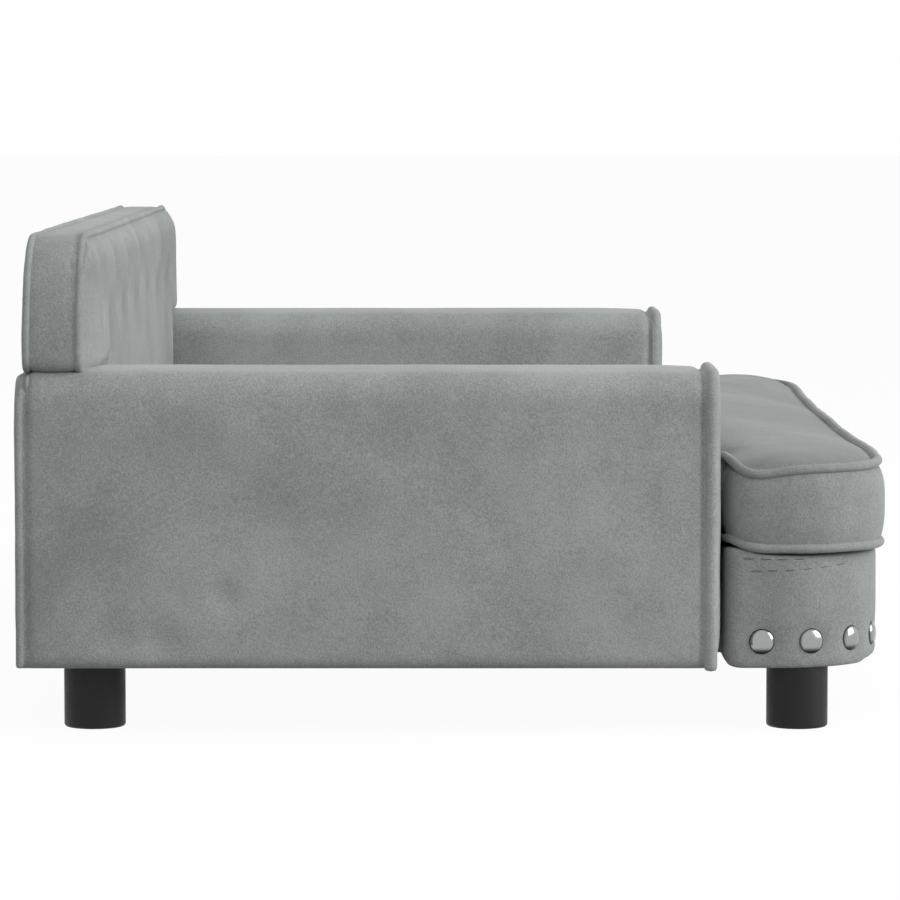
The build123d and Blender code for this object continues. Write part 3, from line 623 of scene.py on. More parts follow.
class SOFA_OT_arm_covers(bpy.types.Operator):
    """Velvet over the arms, with a soft crown and shallow dents"""

    bl_idname = "sofa.arm_covers"
    bl_label = "Arm covers"

    # Each dent: its place along Y and its height, its size, its depth.
    dents = (
        ((0.139, 0.084), 0.012, 0.0024),
        ((0.116, 0.116), 0.05, 0.0026),
        ((0.18, 0.058), 0.016, 0.0022),
        ((0.208, 0.062), 0.014, 0.0017),
        ((0.222, 0.089), 0.035, 0.0022),
        ((-0.017, 0.125), 0.05, 0.001),
        ((0.033, 0.165), 0.06, 0.0009),
        ((-0.087, 0.07), 0.05, 0.0011),
    )
    crown = 0.003
    barrel = 0.0022
    edge_radius = 0.016
    hold = 0.03
    beside_seam = (0.0007, 0.002, 0.0031, 0.0042, 0.0056, 0.0078, 0.0108)
    margin = 0.015
    count = 84

    def execute(self, context):
        for side, sign in sides.items():
            low, high = arm_box[side]
            top = high[2] - self.crown
            corners = ((low[0], low[2]), (high[0], low[2]), (high[0], top), (low[0], top))
            plan = bmesh.new()
            plan.faces.new([plan.verts.new((x, z, 0)) for x, z in corners])
            for upper, radius, segments in ((True, self.edge_radius, 8), (False, 0.006, 4)):
                round_off(plan, [v for v in plan.verts if (v.co.y > 0.15) == upper], radius, segments)
            section = even_steps(plan_route(plan), 0.0045, True)
            start, end = self.seams(low, high)
            between = end - start - 2 * self.margin
            places = [start] + [start + gap for gap in self.beside_seam]
            places += [start + self.margin + between * step / self.count for step in range(self.count + 1)]
            places += [end - gap for gap in reversed(self.beside_seam)] + [end]
            bm = swept([[self.dented(point, y, low, high, sign) for point in section] for y in places])
            for ring in (list(bm.verts)[: len(section)], list(bm.verts)[-len(section):]):
                made = bmesh.ops.contextual_create(bm, geom=ring)["faces"]
                bmesh.ops.inset_region(bm, faces=made, thickness=0.0012, use_even_offset=True)
            finished(f"arm_{side}_velvet", bm, (f"arm_{side}_cover", f"arm_{side}_foam"), 0.8)
        return {"FINISHED"}

    @staticmethod
    def seams(low, high):
        """Where the cover is sewn to its front and its rear cord."""
        return low[1] - 0.002, high[1] + 0.0028

    def dented(self, point, y, low, high, sign):
        """A point of the arm's section at a place along Y, with the crown of its top and its dents."""
        middle, half = spread(low[0], high[0])
        share = (point.x - middle) / half
        aside = math.copysign(1.0, share)
        rise = clamp((point.y - high[2] + self.crown + self.edge_radius) / self.edge_radius)
        sink = 0.0013 * clamp((low[1] + 0.045 - y) / 0.045) ** 2
        sink += 0.004 * clamp((y - high[1] + 0.003) / 0.006) ** 1.5
        groove = 0.0022 * sum(hump(abs(y - seam) - 0.0042, 0.0019) for seam in self.seams(low, high))
        sink += groove
        place = Vector((point.x, y, point.y + (self.crown * (1 - share * share) - sink) * rise))
        flat = clamp((abs(share) - 0.8) / 0.12)
        place.x -= aside * groove * flat
        held = clamp(min((y - low[1]) / self.hold, (high[1] - y) / self.hold))
        wave = ripple(0.0009, y * 7, place.z * 9, sign * 2.0)
        wave += ripple(0.0003, y * 24, place.z * 20, sign * 5.0)
        depth = 0.0
        if share * sign > 0.8:
            for (dent_y, dent_z), size, amount in self.dents:
                gap = math.hypot(y - dent_y, place.z - dent_z) / size
                depth += amount * math.exp(-gap * gap * 2)
            depth -= 0.0012 * hump(place.z - 0.047, 0.006) * max(ripple(1, sign, y * 16, 4), 0)
            level = (place.z - low[2]) / (high[2] - low[2])
            depth -= self.barrel * (1 - (2 * level - 1) ** 2)
        place.x -= aside * (depth + wave) * flat * held
        place.z -= wave * 0.5 * rise * held
        return place


class SOFA_OT_arm_panels(bpy.types.Operator):
    """The padded panel in front of each arm and the flat one behind it"""

    bl_idname = "sofa.arm_panels"
    bl_label = "Arm end panels"

    plump = 0.0065

    def execute(self, context):
        for side in sides:
            low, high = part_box(f"arm_{side}_front_panel")
            low, high = low - Vector((0.0032, 0, 0.0035)), high + Vector((0.0032, 0, 0.0022))
            bm = soft_box((low[0], low[1] + self.plump, low[2]), high, 0.013)
            centre_x, half_x = spread(low[0], high[0])
            centre_z, half_z = spread(low[2], high[2])
            for vertex in bm.verts:
                place = vertex.co
                if place.y < high[1] - 0.002:
                    u = min(abs(place.x - centre_x) / half_x, 1)
                    v = min(abs(place.z - centre_z) / half_z, 1)
                    crown = (1 - u**2.6) ** 0.7 * (1 - v**14) ** 0.7
                    wave = ripple(0.0006, *(place * 26)) + ripple(0.0002, *(place * 60))
                    vertex.co.y -= self.plump * crown + wave * crown
            finished(f"arm_{side}_front_pad", bm, (f"arm_{side}_front_panel",), 0.7)
            low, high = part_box(f"arm_{side}_rear_panel")
            low, high = low - Vector((0.002, 0, 0)), high + Vector((0.002, 0, 0.002))
            bm = soft_box(low, high, 0.01)
            for vertex in bm.verts:
                if vertex.co.y > high[1] - 0.002:
                    vertex.co.y += ripple(0.0004, *(vertex.co * 18))
            finished(f"arm_{side}_rear_cloth", bm, (f"arm_{side}_rear_panel",), 0.3)
        return {"FINISHED"}


class SOFA_OT_arm_cords(bpy.types.Operator):
    """Piping cords round the front and the rear of each arm"""

    bl_idname = "sofa.arm_cords"
    bl_label = "Arm cords"

    def execute(self, context):
        sizes = context.scene.sofa_sizes
        for which, diameter, corner, hang, lowered, shift in (
            ("front", sizes.front_cord, 0.014, 0.0008, 0.003, 0.0014),
            ("rear", sizes.rear_cord, 0.019, 0.0025, 0.0078, 0.0),
        ):
            (x0, y0, z0), (x1, y1, z1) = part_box(f"arm_right_{which}_piping")
            middle_y = (y0 + y1) / 2 + shift
            radius = diameter / 2
            left, right, top, low = x0 + radius, x1 - radius, z1 - radius, z0 + hang
            bm = bmesh.new()
            corners = ((left, low, 0), (right, low, 0), (right, top, 0), (left, top, 0))
            bm.faces.new([bm.verts.new(place) for place in corners])
            round_off(bm, [v for v in bm.verts if v.co.y > 0.1], corner, 8)
            route = plan_route(bm)
            start = route.index(min(route, key=lambda point: (point.y, point.x)))
            route = route[start:] + route[:start]
            if abs(route[1].y - low) < 1e-4:
                route = [route[0]] + route[:0:-1]
            middle, half = spread(left, right)
            points = []
            for point in route:
                crown = 0.003 * (1 - ((point.x - middle) / half) ** 2) if point.y > top - 0.004 else 0
                drop = lowered if point.y > top / 2 else 0
                back = 1.2 * shift * clamp((point.y - top + 0.018) / 0.014)
                points.append(Vector((point.x, middle_y - back, point.y - drop + crown)))
            for side, sign in sides.items():
                line = [Vector((sign * p.x, p.y, p.z)) for p in points]
                sewn_cord(f"arm_{side}", which, line, diameter, False, sign * 3.0 + y0 * 10)
        return {"FINISHED"}


def back_corners(inset):
    """The back's T seen from the front, upside down: ears at the top."""
    (_, _, bottom), (side, _, top) = back_box
    grow = 0.0057 - inset
    notch = arm_box["left"][1][2] - 0.0034 + inset
    return t_corners(0.3444 - inset, side + grow, -(top + grow + 0.0012), -notch, -(bottom - grow))


def upright(bm, y):
    """Stands a flat plan up at a place along Y."""
    turn = Matrix(((1, 0, 0, 0), (0, 0, 1, y), (0, -1, 0, 0), (0, 0, 0, 1)))
    bmesh.ops.transform(bm, matrix=turn, verts=bm.verts)
    return bm


def tuft_buttons(sizes):
    """Where the buttons are: two rows, the lower one between the upper one's buttons."""
    upper = [(number * sizes.tuft_pitch, sizes.tuft_upper) for number in range(-3, 4)]
    lower = [((number + 0.5) * sizes.tuft_pitch, sizes.tuft_lower) for number in range(-3, 3)]
    return upper, lower


def tuft_folds(sizes):
    """The folds of the tufting: between neighbours, up from the upper row and down from the lower row."""
    upper, lower = tuft_buttons(sizes)
    folds = []
    for x, z in upper:
        for other_x, other_z in lower:
            if abs(x - other_x) < sizes.tuft_pitch * 0.6:
                folds.append(((x, z), (other_x, other_z), 1.0, 0.7))
        folds.append(((x, z), (x + 0.004 * math.sin(x * 31), 0.299), 0.7, 0.1))
    for x, z in lower:
        folds.append(((x, z), (x + 0.006 * math.sin(x * 17 + 1), 0.14), 0.9, 0.0))
    for sign in sides.values():
        folds.append(((sign * 0.43, 0.292), (sign * 0.4, 0.262), 0.5, 0.6))
        folds.append(((sign * 0.4, 0.262), (sign * 0.385, 0.226), 0.6, 0.3))
    return folds


def tuft_height(x, z, buttons, folds, sizes):
    """How far the tufted front lies behind its crown at a place."""
    wander = noise.noise_vector(Vector((x * 18, 0.4, z * 18))) * 0.004
    px, pz = x + wander.x, z + wander.z
    fold = 0.0
    for (ax, az), (bx, bz), depth_a, depth_b in folds:
        dx, dz = bx - ax, bz - az
        share = clamp(((px - ax) * dx + (pz - az) * dz) / (dx * dx + dz * dz))
        gap = math.hypot(px - ax - share * dx, pz - az - share * dz)
        if gap < 0.04:
            middle = depth_a + (depth_b - depth_a) * share
            if depth_b > 0.65:
                middle = 0.6 + 0.4 * (2 * share - 1) ** 2
            sharp = 0.35 * math.exp(-gap / 0.003) + 0.65 * hump(gap, 0.013)
            fold = max(fold, middle * sharp)
    dimple = 0.0
    for bx, bz in buttons:
        gap = math.hypot(x - bx, z - bz)
        if gap < 0.06:
            dimple = max(dimple, math.exp(-((gap / 0.019) ** 1.6)))
    crease = ripple(0.0005, px * 60, 5.0, pz * 14) + ripple(0.0002, px * 120, 8.0, pz * 34)
    return sizes.tuft_depth * dimple + (sizes.fold_depth * fold + crease) * (1 - 0.75 * dimple)


class SOFA_OT_back_front(bpy.types.Operator):
    """The tufted front of the back, with its folds and dimples"""

    bl_idname = "sofa.back_front"
    bl_label = "Tufted back"

    ears_from = 0.345
    ears_low = 0.2195
    seam_top = 0.3012
    seam_low = 0.1115

    def execute(self, context):
        sizes = context.scene.sofa_sizes
        upper, lower = tuft_buttons(sizes)
        folds = tuft_folds(sizes)
        seam_y = middle_of("back_front_piping", 1)
        plan = rounded_plan(back_corners(0.002), [r - 0.002 for r in back_radii])
        bm = remeshed(upright(raised(plan, -0.012, 0.012), seam_y), 0.0036, 2)
        for vertex in bm.verts:
            x, y, z = vertex.co
            if y > seam_y - 0.003:
                continue
            ear = abs(x) > self.ears_from
            if ear or z > 0.228:
                aside = clamp((0.4385 - abs(x)) / 0.05)
                full, upward = aside * aside * (3 - 2 * aside), (self.seam_top - z) / 0.017
                upward = min(upward, (z - self.ears_low) / 0.008) if ear else upward
            else:
                full, upward = self.rounded((0.3425 - abs(x)) / 0.007), (z - self.seam_low) / 0.015
            crown = full * self.rounded(upward)
            lean = 0.001 * clamp((z - 0.27) / 0.03)
            depth = tuft_height(x, z, upper + lower, folds, sizes)
            wave = ripple(0.0006, x * 15, 2.0, z * 15)
            vertex.co.y = seam_y + lean - 0.0018 - 0.01 * crown + (depth + wave) * min(crown * 1.3, 1)
        finished("back_tufted_front", bm, ("back_foam", "back_cover"), 0.8)
        return {"FINISHED"}

    @staticmethod
    def rounded(share):
        """How full the padding is, from 0 at its edge to 1."""
        return (1 - (1 - clamp(share)) ** 2) ** 0.75


class SOFA_OT_back_sides(bpy.types.Operator):
    """The velvet round the edge of the back and behind it"""

    bl_idname = "sofa.back_sides"
    bl_label = "Back edge and rear"

    bands = 9

    def execute(self, context):
        plan = rounded_plan(back_corners(0.0), back_radii, 10)
        route = even_steps(plan_route(upright(plan, 0)), 0.005, True)
        front, rear = (middle_of(f"back_{which}_piping", 1) for which in ("front", "rear"))
        rings = []
        for band in range(self.bands + 1):
            share = band / self.bands
            y = front + (rear - front) * share
            inset = 0.0014 + 0.002 * (2 * share - 1) ** 4
            near_seam = max(abs(2 * share - 1) - 0.35, 0)
            ring = []
            for point, out in zip(route, outward(route, 2)):
                wave = ripple(0.0006, point.x * 20, y * 20, point.z * 20)
                pucker = ripple(0.0014 * near_seam, point.x * 90, y * 14, point.z * 120)
                ring.append(Vector((point.x, y, point.z)) + out * (wave + pucker - inset))
            rings.append(ring)
        finished("back_edge_velvet", swept(rings), fill=0.6)
        plan = rounded_plan(back_corners(0.0045), [r - 0.003 for r in back_radii])
        bm = remeshed(upright(raised(plan, 0.0, 0.0056), rear - 0.0028), 0.003, 1)
        for vertex in bm.verts:
            if vertex.co.y > rear + 0.001:
                vertex.co.y += ripple(0.0003, vertex.co.x * 9, 1, vertex.co.z * 9)
        finished("back_rear_velvet", bm, ("back_rear_panel",), 0.3)
        return {"FINISHED"}


class SOFA_OT_back_cords(bpy.types.Operator):
    """Piping cords round the front and the rear of the back"""

    bl_idname = "sofa.back_cords"
    bl_label = "Back cords"

    def execute(self, context):
        sizes = context.scene.sofa_sizes
        for which in ("front", "rear"):
            (_, y0, _), (_, y1, _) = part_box(f"back_{which}_piping")
            plan = rounded_plan(back_corners(0.003), [r - 0.002 for r in back_radii])
            route = plan_route(upright(plan, (y0 + y1) / 2))
            sewn_cord("back", which, route, sizes.back_cord, True, 11.0 + y0)
        return {"FINISHED"}


class SOFA_OT_buttons(bpy.types.Operator):
    """Buttons covered with velvet, with small puckers round their rims"""

    bl_idname = "sofa.buttons"
    bl_label = "Covered buttons"

    # Each pair: a share of the radius, and a place along Y.
    profile = ((0.0, -0.004), (0.45, -0.0037), (0.78, -0.0027), (0.97, -0.0012), (1.0, 0.0), (0.93, 0.0012))

    def execute(self, context):
        sizes = context.scene.sofa_sizes
        upper, lower = tuft_buttons(sizes)
        floor_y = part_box("back_buttons")[0][1] + 0.004
        bm = bmesh.new()
        radius = sizes.button_size / 2
        for number, (x, z) in enumerate(upper + lower):
            for vertex in turned(bm, self.profile, radius, (0, 1, 0), 24):
                reach = math.hypot(vertex.co.x, vertex.co.z) / radius
                angle = math.atan2(vertex.co.z, vertex.co.x)
                pleat = 0.00025 * math.sin(angle * 12 + number) * max(reach - 0.6, 0)
                vertex.co = Vector((vertex.co.x + x, vertex.co.y + floor_y + pleat, vertex.co.z + z))
        bmesh.ops.remove_doubles(bm, verts=bm.verts, dist=0.00001)
        finished("back_covered_buttons", bm, ("back_buttons",), finish="cord_velvet")
        return {"FINISHED"}


class SOFA_OT_base(bpy.types.Operator):
    """Velvet round the base, rolled under at its hem and pulled in a little at each nail"""

    bl_idname = "sofa.base"
    bl_label = "Base cover"

    # Each pair: how far it lies inside the plan, and its height above the base's lower edge.
    hem = ((0.022, 0.0), (0.012, 0.0), (0.0052, 0.0), (0.0042, -0.0014), (0.0028, -0.0024), (0.0014, -0.0018))
    turned_up = ((0.0005, 0.0002), (0.0, 0.0036), (0.0, 0.0074))
    bands = 12

    def execute(self, context):
        (_, y0, z0), (x1, y1, z1) = base_box
        corners = t_corners(stem_half, x1, y0 - 0.0008, ear_rear, y1)
        plan = rounded_plan(corners, (apron_radius, 0.008, 0.003, 0.008), 12)
        route = even_steps(plan_route(plan), plan_step, True)
        rise, first = z1 - z0, self.turned_up[-1][1]
        profile = [*self.hem, *self.turned_up]
        between = rise - first - 0.0012
        profile += [(0.0, first + between * band / self.bands) for band in range(1, self.bands)]
        profile += [(0.0, rise - 0.0012), (0.0012, rise), (0.008, rise), (0.02, rise), (0.024, rise)]
        nails = nail_places()
        rings = []
        for inset, height in profile:
            ring = []
            for point, out in zip(route, outward(route, 1)):
                place = Vector((point.x, point.y, z0 + height)) - out * inset
                if inset < 0.004 and place.y < ear_rear + 0.004:
                    wave = ripple(0.0009, *(place * 12)) + ripple(0.0004, *(place * 34))
                    pull = sum(bump_at(place, nail, 0.014) for nail, _ in nails) * 0.0026
                    place += out * (wave * 0.7 - pull)
                    if height < 0.004:
                        near = max(0.0, 1 - (ear_rear - place.y) / 0.009) ** 1.5
                        place.z += 0.0022 * near * ear_share(place.x)
                        place.z += 0.0026 * clamp((y0 + 0.012 - place.y) / 0.005)
                if height > 0.6 * rise and place.y < ear_rear + 0.001:
                    high_up = min(1.0, (height / rise - 0.6) / 0.4)
                    place.z += 0.0048 * high_up * ear_share(place.x) * hump(ear_rear - place.y, 0.02)
                ring.append(place)
            rings.append(ring)
        finished("base_velvet", swept(rings), ("base_cover", "base_front_foam"), 0.5, "seat_velvet")
        return {"FINISHED"}


def nail_places():
    """Where the nails sit on the apron, with the direction that each faces."""
    (_, y0, _), (x1, _, _) = base_box
    count, height, start = 31, 0.055, ear_rear - 0.0221
    straight = start - apron_corner_y
    bend = math.pi / 2 * apron_radius
    total = 2 * (straight + bend + apron_corner_x)
    places = []
    for number in range(count):
        along = total * number / (count - 1)
        sign = -1 if along < total / 2 else 1
        along = min(along, total - along)
        if along < straight:
            place, out = Vector((x1, start - along, height)), Vector((1, 0, 0))
        elif along < straight + bend:
            turn = (along - straight) / apron_radius
            out = Vector((math.cos(turn), -math.sin(turn), 0))
            place = Vector((apron_corner_x, apron_corner_y, height)) + out * apron_radius
        else:
            place, out = Vector((apron_corner_x - (along - straight - bend), y0, height)), Vector((0, -1, 0))
        places.append((Vector((sign * place.x, place.y, place.z)), Vector((sign * out.x, out.y, 0))))
    return places


class SOFA_OT_nails(bpy.types.Operator):
    """Domed nailheads along the apron"""

    bl_idname = "sofa.nails"
    bl_label = "Nailheads"

    dome = 0.0032

    def execute(self, context):
        radius = context.scene.sofa_sizes.nail_size / 2
        bm = bmesh.new()
        painted_dark_reflection = bm.verts.layers.float.new("painted_dark_reflection")
        profile = [(0.0, self.dome)]
        for share in (0.2, 0.38, 0.54, 0.68, 0.79, 0.88, 0.945, 0.985):
            profile.append((share, self.dome * (1 - share**2.5) ** 0.62))
        profile += [(1.0, 0.0003), (1.0, -0.0003), (0.9, -0.0008)]
        for place, out in nail_places():
            own = turned(bm, profile, radius, (0, 0, 1), 28)
            reach = {v: math.hypot(v.co.x, v.co.y) / radius for v in own}
            turn = out.to_track_quat("Z", "Y").to_matrix().to_4x4()
            bmesh.ops.transform(bm, matrix=Matrix.Translation(place - out * 0.0014) @ turn, verts=own)
            for vertex in own:
                # Painted shade and painted dark reflection: the rim and the lower part of each head are
                # darkened.
                rim = clamp((reach[vertex] - 0.86) / 0.1)
                under = clamp((place.z - vertex.co.z) / radius * 4.0 - 1.9)
                vertex[painted_dark_reflection] = max(rim * 0.9, under)
        bmesh.ops.remove_doubles(bm, verts=bm.verts, dist=0.00001)
        finished("apron_nailheads", bm, ("nailheads",), finish="nail_chrome", slot="nail_chrome")
        return {"FINISHED"}


class SOFA_OT_stitches(bpy.types.Operator):
    """Two short rows of long running stitches on each ear of the apron"""

    bl_idname = "sofa.stitches"
    bl_label = "Running stitches"

    # Each row: where it starts and ends along Y, its height, its tilt.
    rows = ((-0.1765, -0.2205, 0.1066, 0.0), (-0.1812, -0.2475, 0.0988, 0.045))
    thickness = 0.0009

    def execute(self, context):
        sizes = context.scene.sofa_sizes
        bm = bmesh.new()
        for sign in sides.values():
            for start, end, height, tilt in self.rows:
                y = start
                while y - sizes.stitch_length > end:
                    points = []
                    for share in (0, 0.25, 0.5, 0.75, 1):
                        at = y - share * sizes.stitch_length
                        x = base_box[1][0]
                        if at < apron_corner_y:
                            reach = apron_radius**2 - (apron_corner_y - at) ** 2
                            x = apron_corner_x + math.sqrt(max(reach, 0))
                        proud = 0.0001 + 0.0005 * (1 - (2 * share - 1) ** 2)
                        z = height + tilt * (start - at) - 0.0008 * math.sin((start - at) * 60)
                        points.append(Vector((sign * (x + proud), at, z)))
                    add_cord(bm, points, self.thickness, False, 0.0, y, 6)
                    y -= sizes.stitch_length + sizes.stitch_gap
        finished("apron_stitches", bm, finish="thread")
        return {"FINISHED"}


def ear_share(x):
    """0 on the middle of the seat, 1 at the outside of an ear."""
    return clamp((abs(x) - 0.34) / 0.08)


def seam_lift(x, y):
    """How far the top seam stands above its plain level: up at the ears' corners, down between them."""
    rear = 0.0095 * hump(y - ear_rear - 0.0035, 0.0095)
    dip = 0.0033 * hump(y - ear_rear + 0.02, 0.017)
    lift = ear_share(x) * (rear - dip - 0.0008 * clamp((ear_rear - y) / 0.02))
    lift += 0.0027 * bump_at((abs(x), y, 0), (0.315, -0.266, 0), 0.12)
    lift += 0.003 * bump_at((x, y, 0), (0.42, -0.235, 0), 0.056)
    return lift + ripple(0.0008, x * 9, y * 9, 1.0)


def hem_lift(x, y):
    """How far the bottom seam stands above its plain level."""
    rear = 0.007 * hump(y - ear_rear - 0.004, 0.014)
    return 0.0012 + ear_share(x) * rear + ripple(0.0006, x * 8, y * 8, 4.0)


def cushion_plan(inset):
    """The cushion's plan, drawn in by an inset."""
    (_, y0, _), (x1, y1, _) = cushion_box
    corners = t_corners(0.343 - inset, x1 - inset, y0 + inset, ear_rear - inset, y1 - inset)
    return rounded_plan(corners, [0.06 - inset, max(0.02 - inset, 0.004), 0.006 + inset, 0.024 - inset], 12)


def front_draw(x, y):
    """How far the front edge is drawn in at its middle."""
    return 0.002 * max(0.0, 1 - (x / 0.43) ** 2) * clamp((-0.16 - y) / 0.1)


def cushion_route(inset, level=0.0, lift=lambda x, y: 0.0):
    """The points round the cushion's plan at a level, with the front edge drawn in."""
    route = []
    for point in even_steps(plan_route(cushion_plan(inset)), plan_step, True):
        y = point.y + front_draw(point.x, point.y)
        route.append(Vector((point.x, y, level + lift(point.x, y))))
    return route


def cushion_line(which):
    """The points of the cushion's top or bottom seam."""
    inset, lift = (0.0034, seam_lift) if which == "top" else (0.0018, hem_lift)
    return cushion_route(inset, middle_of(f"cushion_{which}_piping", 2), lift)


def search_tree(points):
    """Finds the nearest of some points."""
    tree = kdtree.KDTree(len(points))
    for index, point in enumerate(points):
        tree.insert(point, index)
    tree.balance()
    return tree


class SOFA_OT_cushion(bpy.types.Operator):
    """The loose seat cushion, filled by a cloth simulation between its two seams"""

    bl_idname = "sofa.cushion"
    bl_label = "Seat cushion"

    crown = 0.0052
    corner_dip = 0.009
    reach = 0.0105
    side_reach = 0.002
    frames = 20

    def execute(self, context):
        z0 = cushion_box[0][2]
        seams = cushion_line("top") + cushion_line("bottom")
        tree = search_tree(seams)
        rim = search_tree(cushion_route(0.0))
        seam_z = seams[0].z
        bm = remeshed(raised(cushion_plan(0.0032), z0 + 0.0022, seam_z + 0.0012), 0.006, 2)
        for vertex in bm.verts:
            x, y, z = vertex.co
            y += front_draw(x, y)
            share = clamp((z - z0) / (seam_z - z0))
            edge_point, _, inside = rim.find(Vector((x, y, 0)))
            if inside < 0.006:
                swell = 1.35 * (1 - (2 * share - 1) ** 4) * (0.2 if y > 0.2 else 1.0)
                x, y = x + (edge_point.x - x) * swell, y + (edge_point.y - y) * swell
            top = share > 0.9
            crown = 1 - (1 - min(inside / 0.05, 1)) ** 2
            z += seam_lift(x, y) * share + self.crown * crown * top
            z -= self.corner_dip * bump_at((abs(x), y, 0), (0.412, ear_rear - 0.012, 0), 0.016) * top
            vertex.co = self.sewn(Vector((x, y, z)), tree)
        source = as_object("cushion_velvet", bm)
        mesh = source.data
        pins = source.vertex_groups.new(name="seams")
        pins.add([v.index for v in mesh.vertices if tree.find(v.co)[2] < 0.004], 1.0, "REPLACE")
        rest = [v.co.copy() for v in mesh.vertices]
        moved = self.filled(context, source)
        source.vertex_groups.remove(pins)
        result = bmesh.new()
        result.from_mesh(mesh)
        result.verts.ensure_lookup_table()
        for index, vertex in enumerate(result.verts):
            move = moved[index] - rest[index]
            rise = max(-self.reach, min(self.reach, move.z))
            aside = Vector((move.x, move.y, 0))
            if aside.length > self.side_reach:
                aside = aside.normalized() * self.side_reach
            place = rest[index] + aside + Vector((0, 0, rise))
            if place.z > seam_z:
                place.z += ripple(0.001, *(place * 11)) + ripple(0.0004, *(place * 30))
            vertex.co = place
        for vertex in smoothed(result).verts:
            place = self.sewn(vertex.co, tree)
            place.z = max(place.z, z0 + 0.0002)
            vertex.co = place
        bpy.data.objects.remove(source)
        names = ("cushion_cover", "cushion_core")
        finished("cushion_velvet", result, names, 0.85, "seat_velvet", body="seat_cushion")
        return {"FINISHED"}

    @staticmethod
    def sewn(place, tree):
        """A point of the cloth, pulled to the nearest seam as it comes close to it."""
        seam, _, gap = tree.find(place)
        if place.z > spread(cushion_box[0][2], cushion_box[1][2])[0]:
            seam = seam - Vector((0, 0, 0.0012 + 0.0014 * clamp((-0.24 - place.y) / 0.02)))
        return place.lerp(seam, max(0.0, 1 - gap / 0.01) ** 1.15)

    @staticmethod
    def guessed(place, rim, seam_z):
        inside = rim.find(Vector((place.x, place.y, 0)))[2]
        if place.z > seam_z - 0.002:
            return place + Vector((0, 0, 0.006 * (1 - (1 - min(inside / 0.07, 1)) ** 2)))
        return place.copy()

    def filled(self, context, source):
        """Where a cloth simulation under pressure pushes the points."""
        cloth = source.modifiers.new("filling", "CLOTH")
        settings = cloth.settings
        settings.use_pressure = True
        settings.uniform_pressure_force = 4
        settings.effector_weights.gravity = 0
        settings.vertex_group_mass = "seams"
        settings.quality = 5
        settings.tension_stiffness = 8
        settings.compression_stiffness = 8
        settings.bending_stiffness = 0.5
        cloth.point_cache.frame_start = 1
        cloth.point_cache.frame_end = self.frames
        for number in range(1, self.frames + 1):
            context.scene.frame_set(number)
        swollen = source.evaluated_get(context.evaluated_depsgraph_get())
        moved = [v.co.copy() for v in swollen.to_mesh().vertices]
        swollen.to_mesh_clear()
        source.modifiers.remove(cloth)
        context.scene.frame_set(1)
        return moved


class SOFA_OT_cushion_cords(bpy.types.Operator):
    """Piping cords along the cushion's top and bottom seams"""

    bl_idname = "sofa.cushion_cords"
    bl_label = "Cushion cords"

    def execute(self, context):
        diameter = context.scene.sofa_sizes.cushion_cord
        for seed, which in ((5.0, "top"), (6.0, "bottom")):
            line = cushion_line(which)
            sewn_cord("cushion", which, line, diameter, True, seed, "seat_cord_velvet", "seat_cushion")
        return {"FINISHED"}


class SOFA_OT_cloths(bpy.types.Operator):
    """The cloth on the deck under the cushion and the dust cover under the base"""

    bl_idname = "sofa.cloths"
    bl_label = "Deck and dust cloths"

    def execute(self, context):
        for name, node, inset, radii in (
            ("deck_sheet", "deck_cloth", 0.02, (0.038, 0.004, 0.023, 0.004)),
            ("dust_sheet", "dust_cover", 0.01, (0.048, 0.004, 0.013, 0.004)),
        ):
            (x0, y0, z0), (x1, y1, z1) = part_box(node)
            corners = t_corners(stem_half - inset, x1, y0, ear_rear - inset, y1)
            bm = remeshed(raised(rounded_plan(corners, radii), z0, z0 + 0.003), 0.006, 1)
            for vertex in bm.verts:
                above = vertex.co.z > z0 + 0.0015
                sag = ripple(0.0003, *(vertex.co * 14))
                vertex.co.z = (z1 if above else z0) + (sag if node == "deck_cloth" and above else 0)
            obj = finished(name, bm, (node,), finish="lining", slot="lining", subdivide=0)
        return {"FINISHED"}


class SOFA_OT_zip(bpy.types.Operator):
    """The zip's tape, with its coil of teeth, in the cushion's rear boxing"""

    bl_idname = "sofa.zip"
    bl_label = "Zip"

    pitch = 0.0016
    tooth = (0.0009, 0.0009, 0.0022)

    def execute(self, context):
        (x0, y0, z0), (x1, y1, z1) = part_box("cushion_zip")
        middle = (z0 + z1) / 2
        tape = box_of(x0, x1, y0, y1 - self.tooth[1], z0, z1)
        edges = [e for e in tape.edges if abs(e.verts[0].co.x - e.verts[1].co.x) > 0.1]
        round_off(tape, edges, 0.0003, 2, "EDGES")
        looks = {"finish": "zip_tape", "slot": "zip_tape", "body": "seat_cushion", "subdivide": 0}
        finished("zip_tapes", tape, ("cushion_zip",), **looks)
        teeth = bmesh.new()
        for number in range(int((x1 - x0 - 0.004) / self.pitch)):
            x = x0 + 0.002 + number * self.pitch
            for sign, shift in ((-1, 0), (1, self.pitch / 2)):
                made = bmesh.ops.create_cube(teeth, size=1)["verts"]
                bmesh.ops.scale(teeth, vec=self.tooth, verts=made)
                bmesh.ops.translate(teeth, vec=(x + shift, y1 - 0.00045, middle + sign * 0.0008), verts=made)
        obj = finished("zip_teeth", teeth, **looks)
        for polygon in obj.data.polygons:
            polygon.use_smooth = False
        return {"FINISHED"}


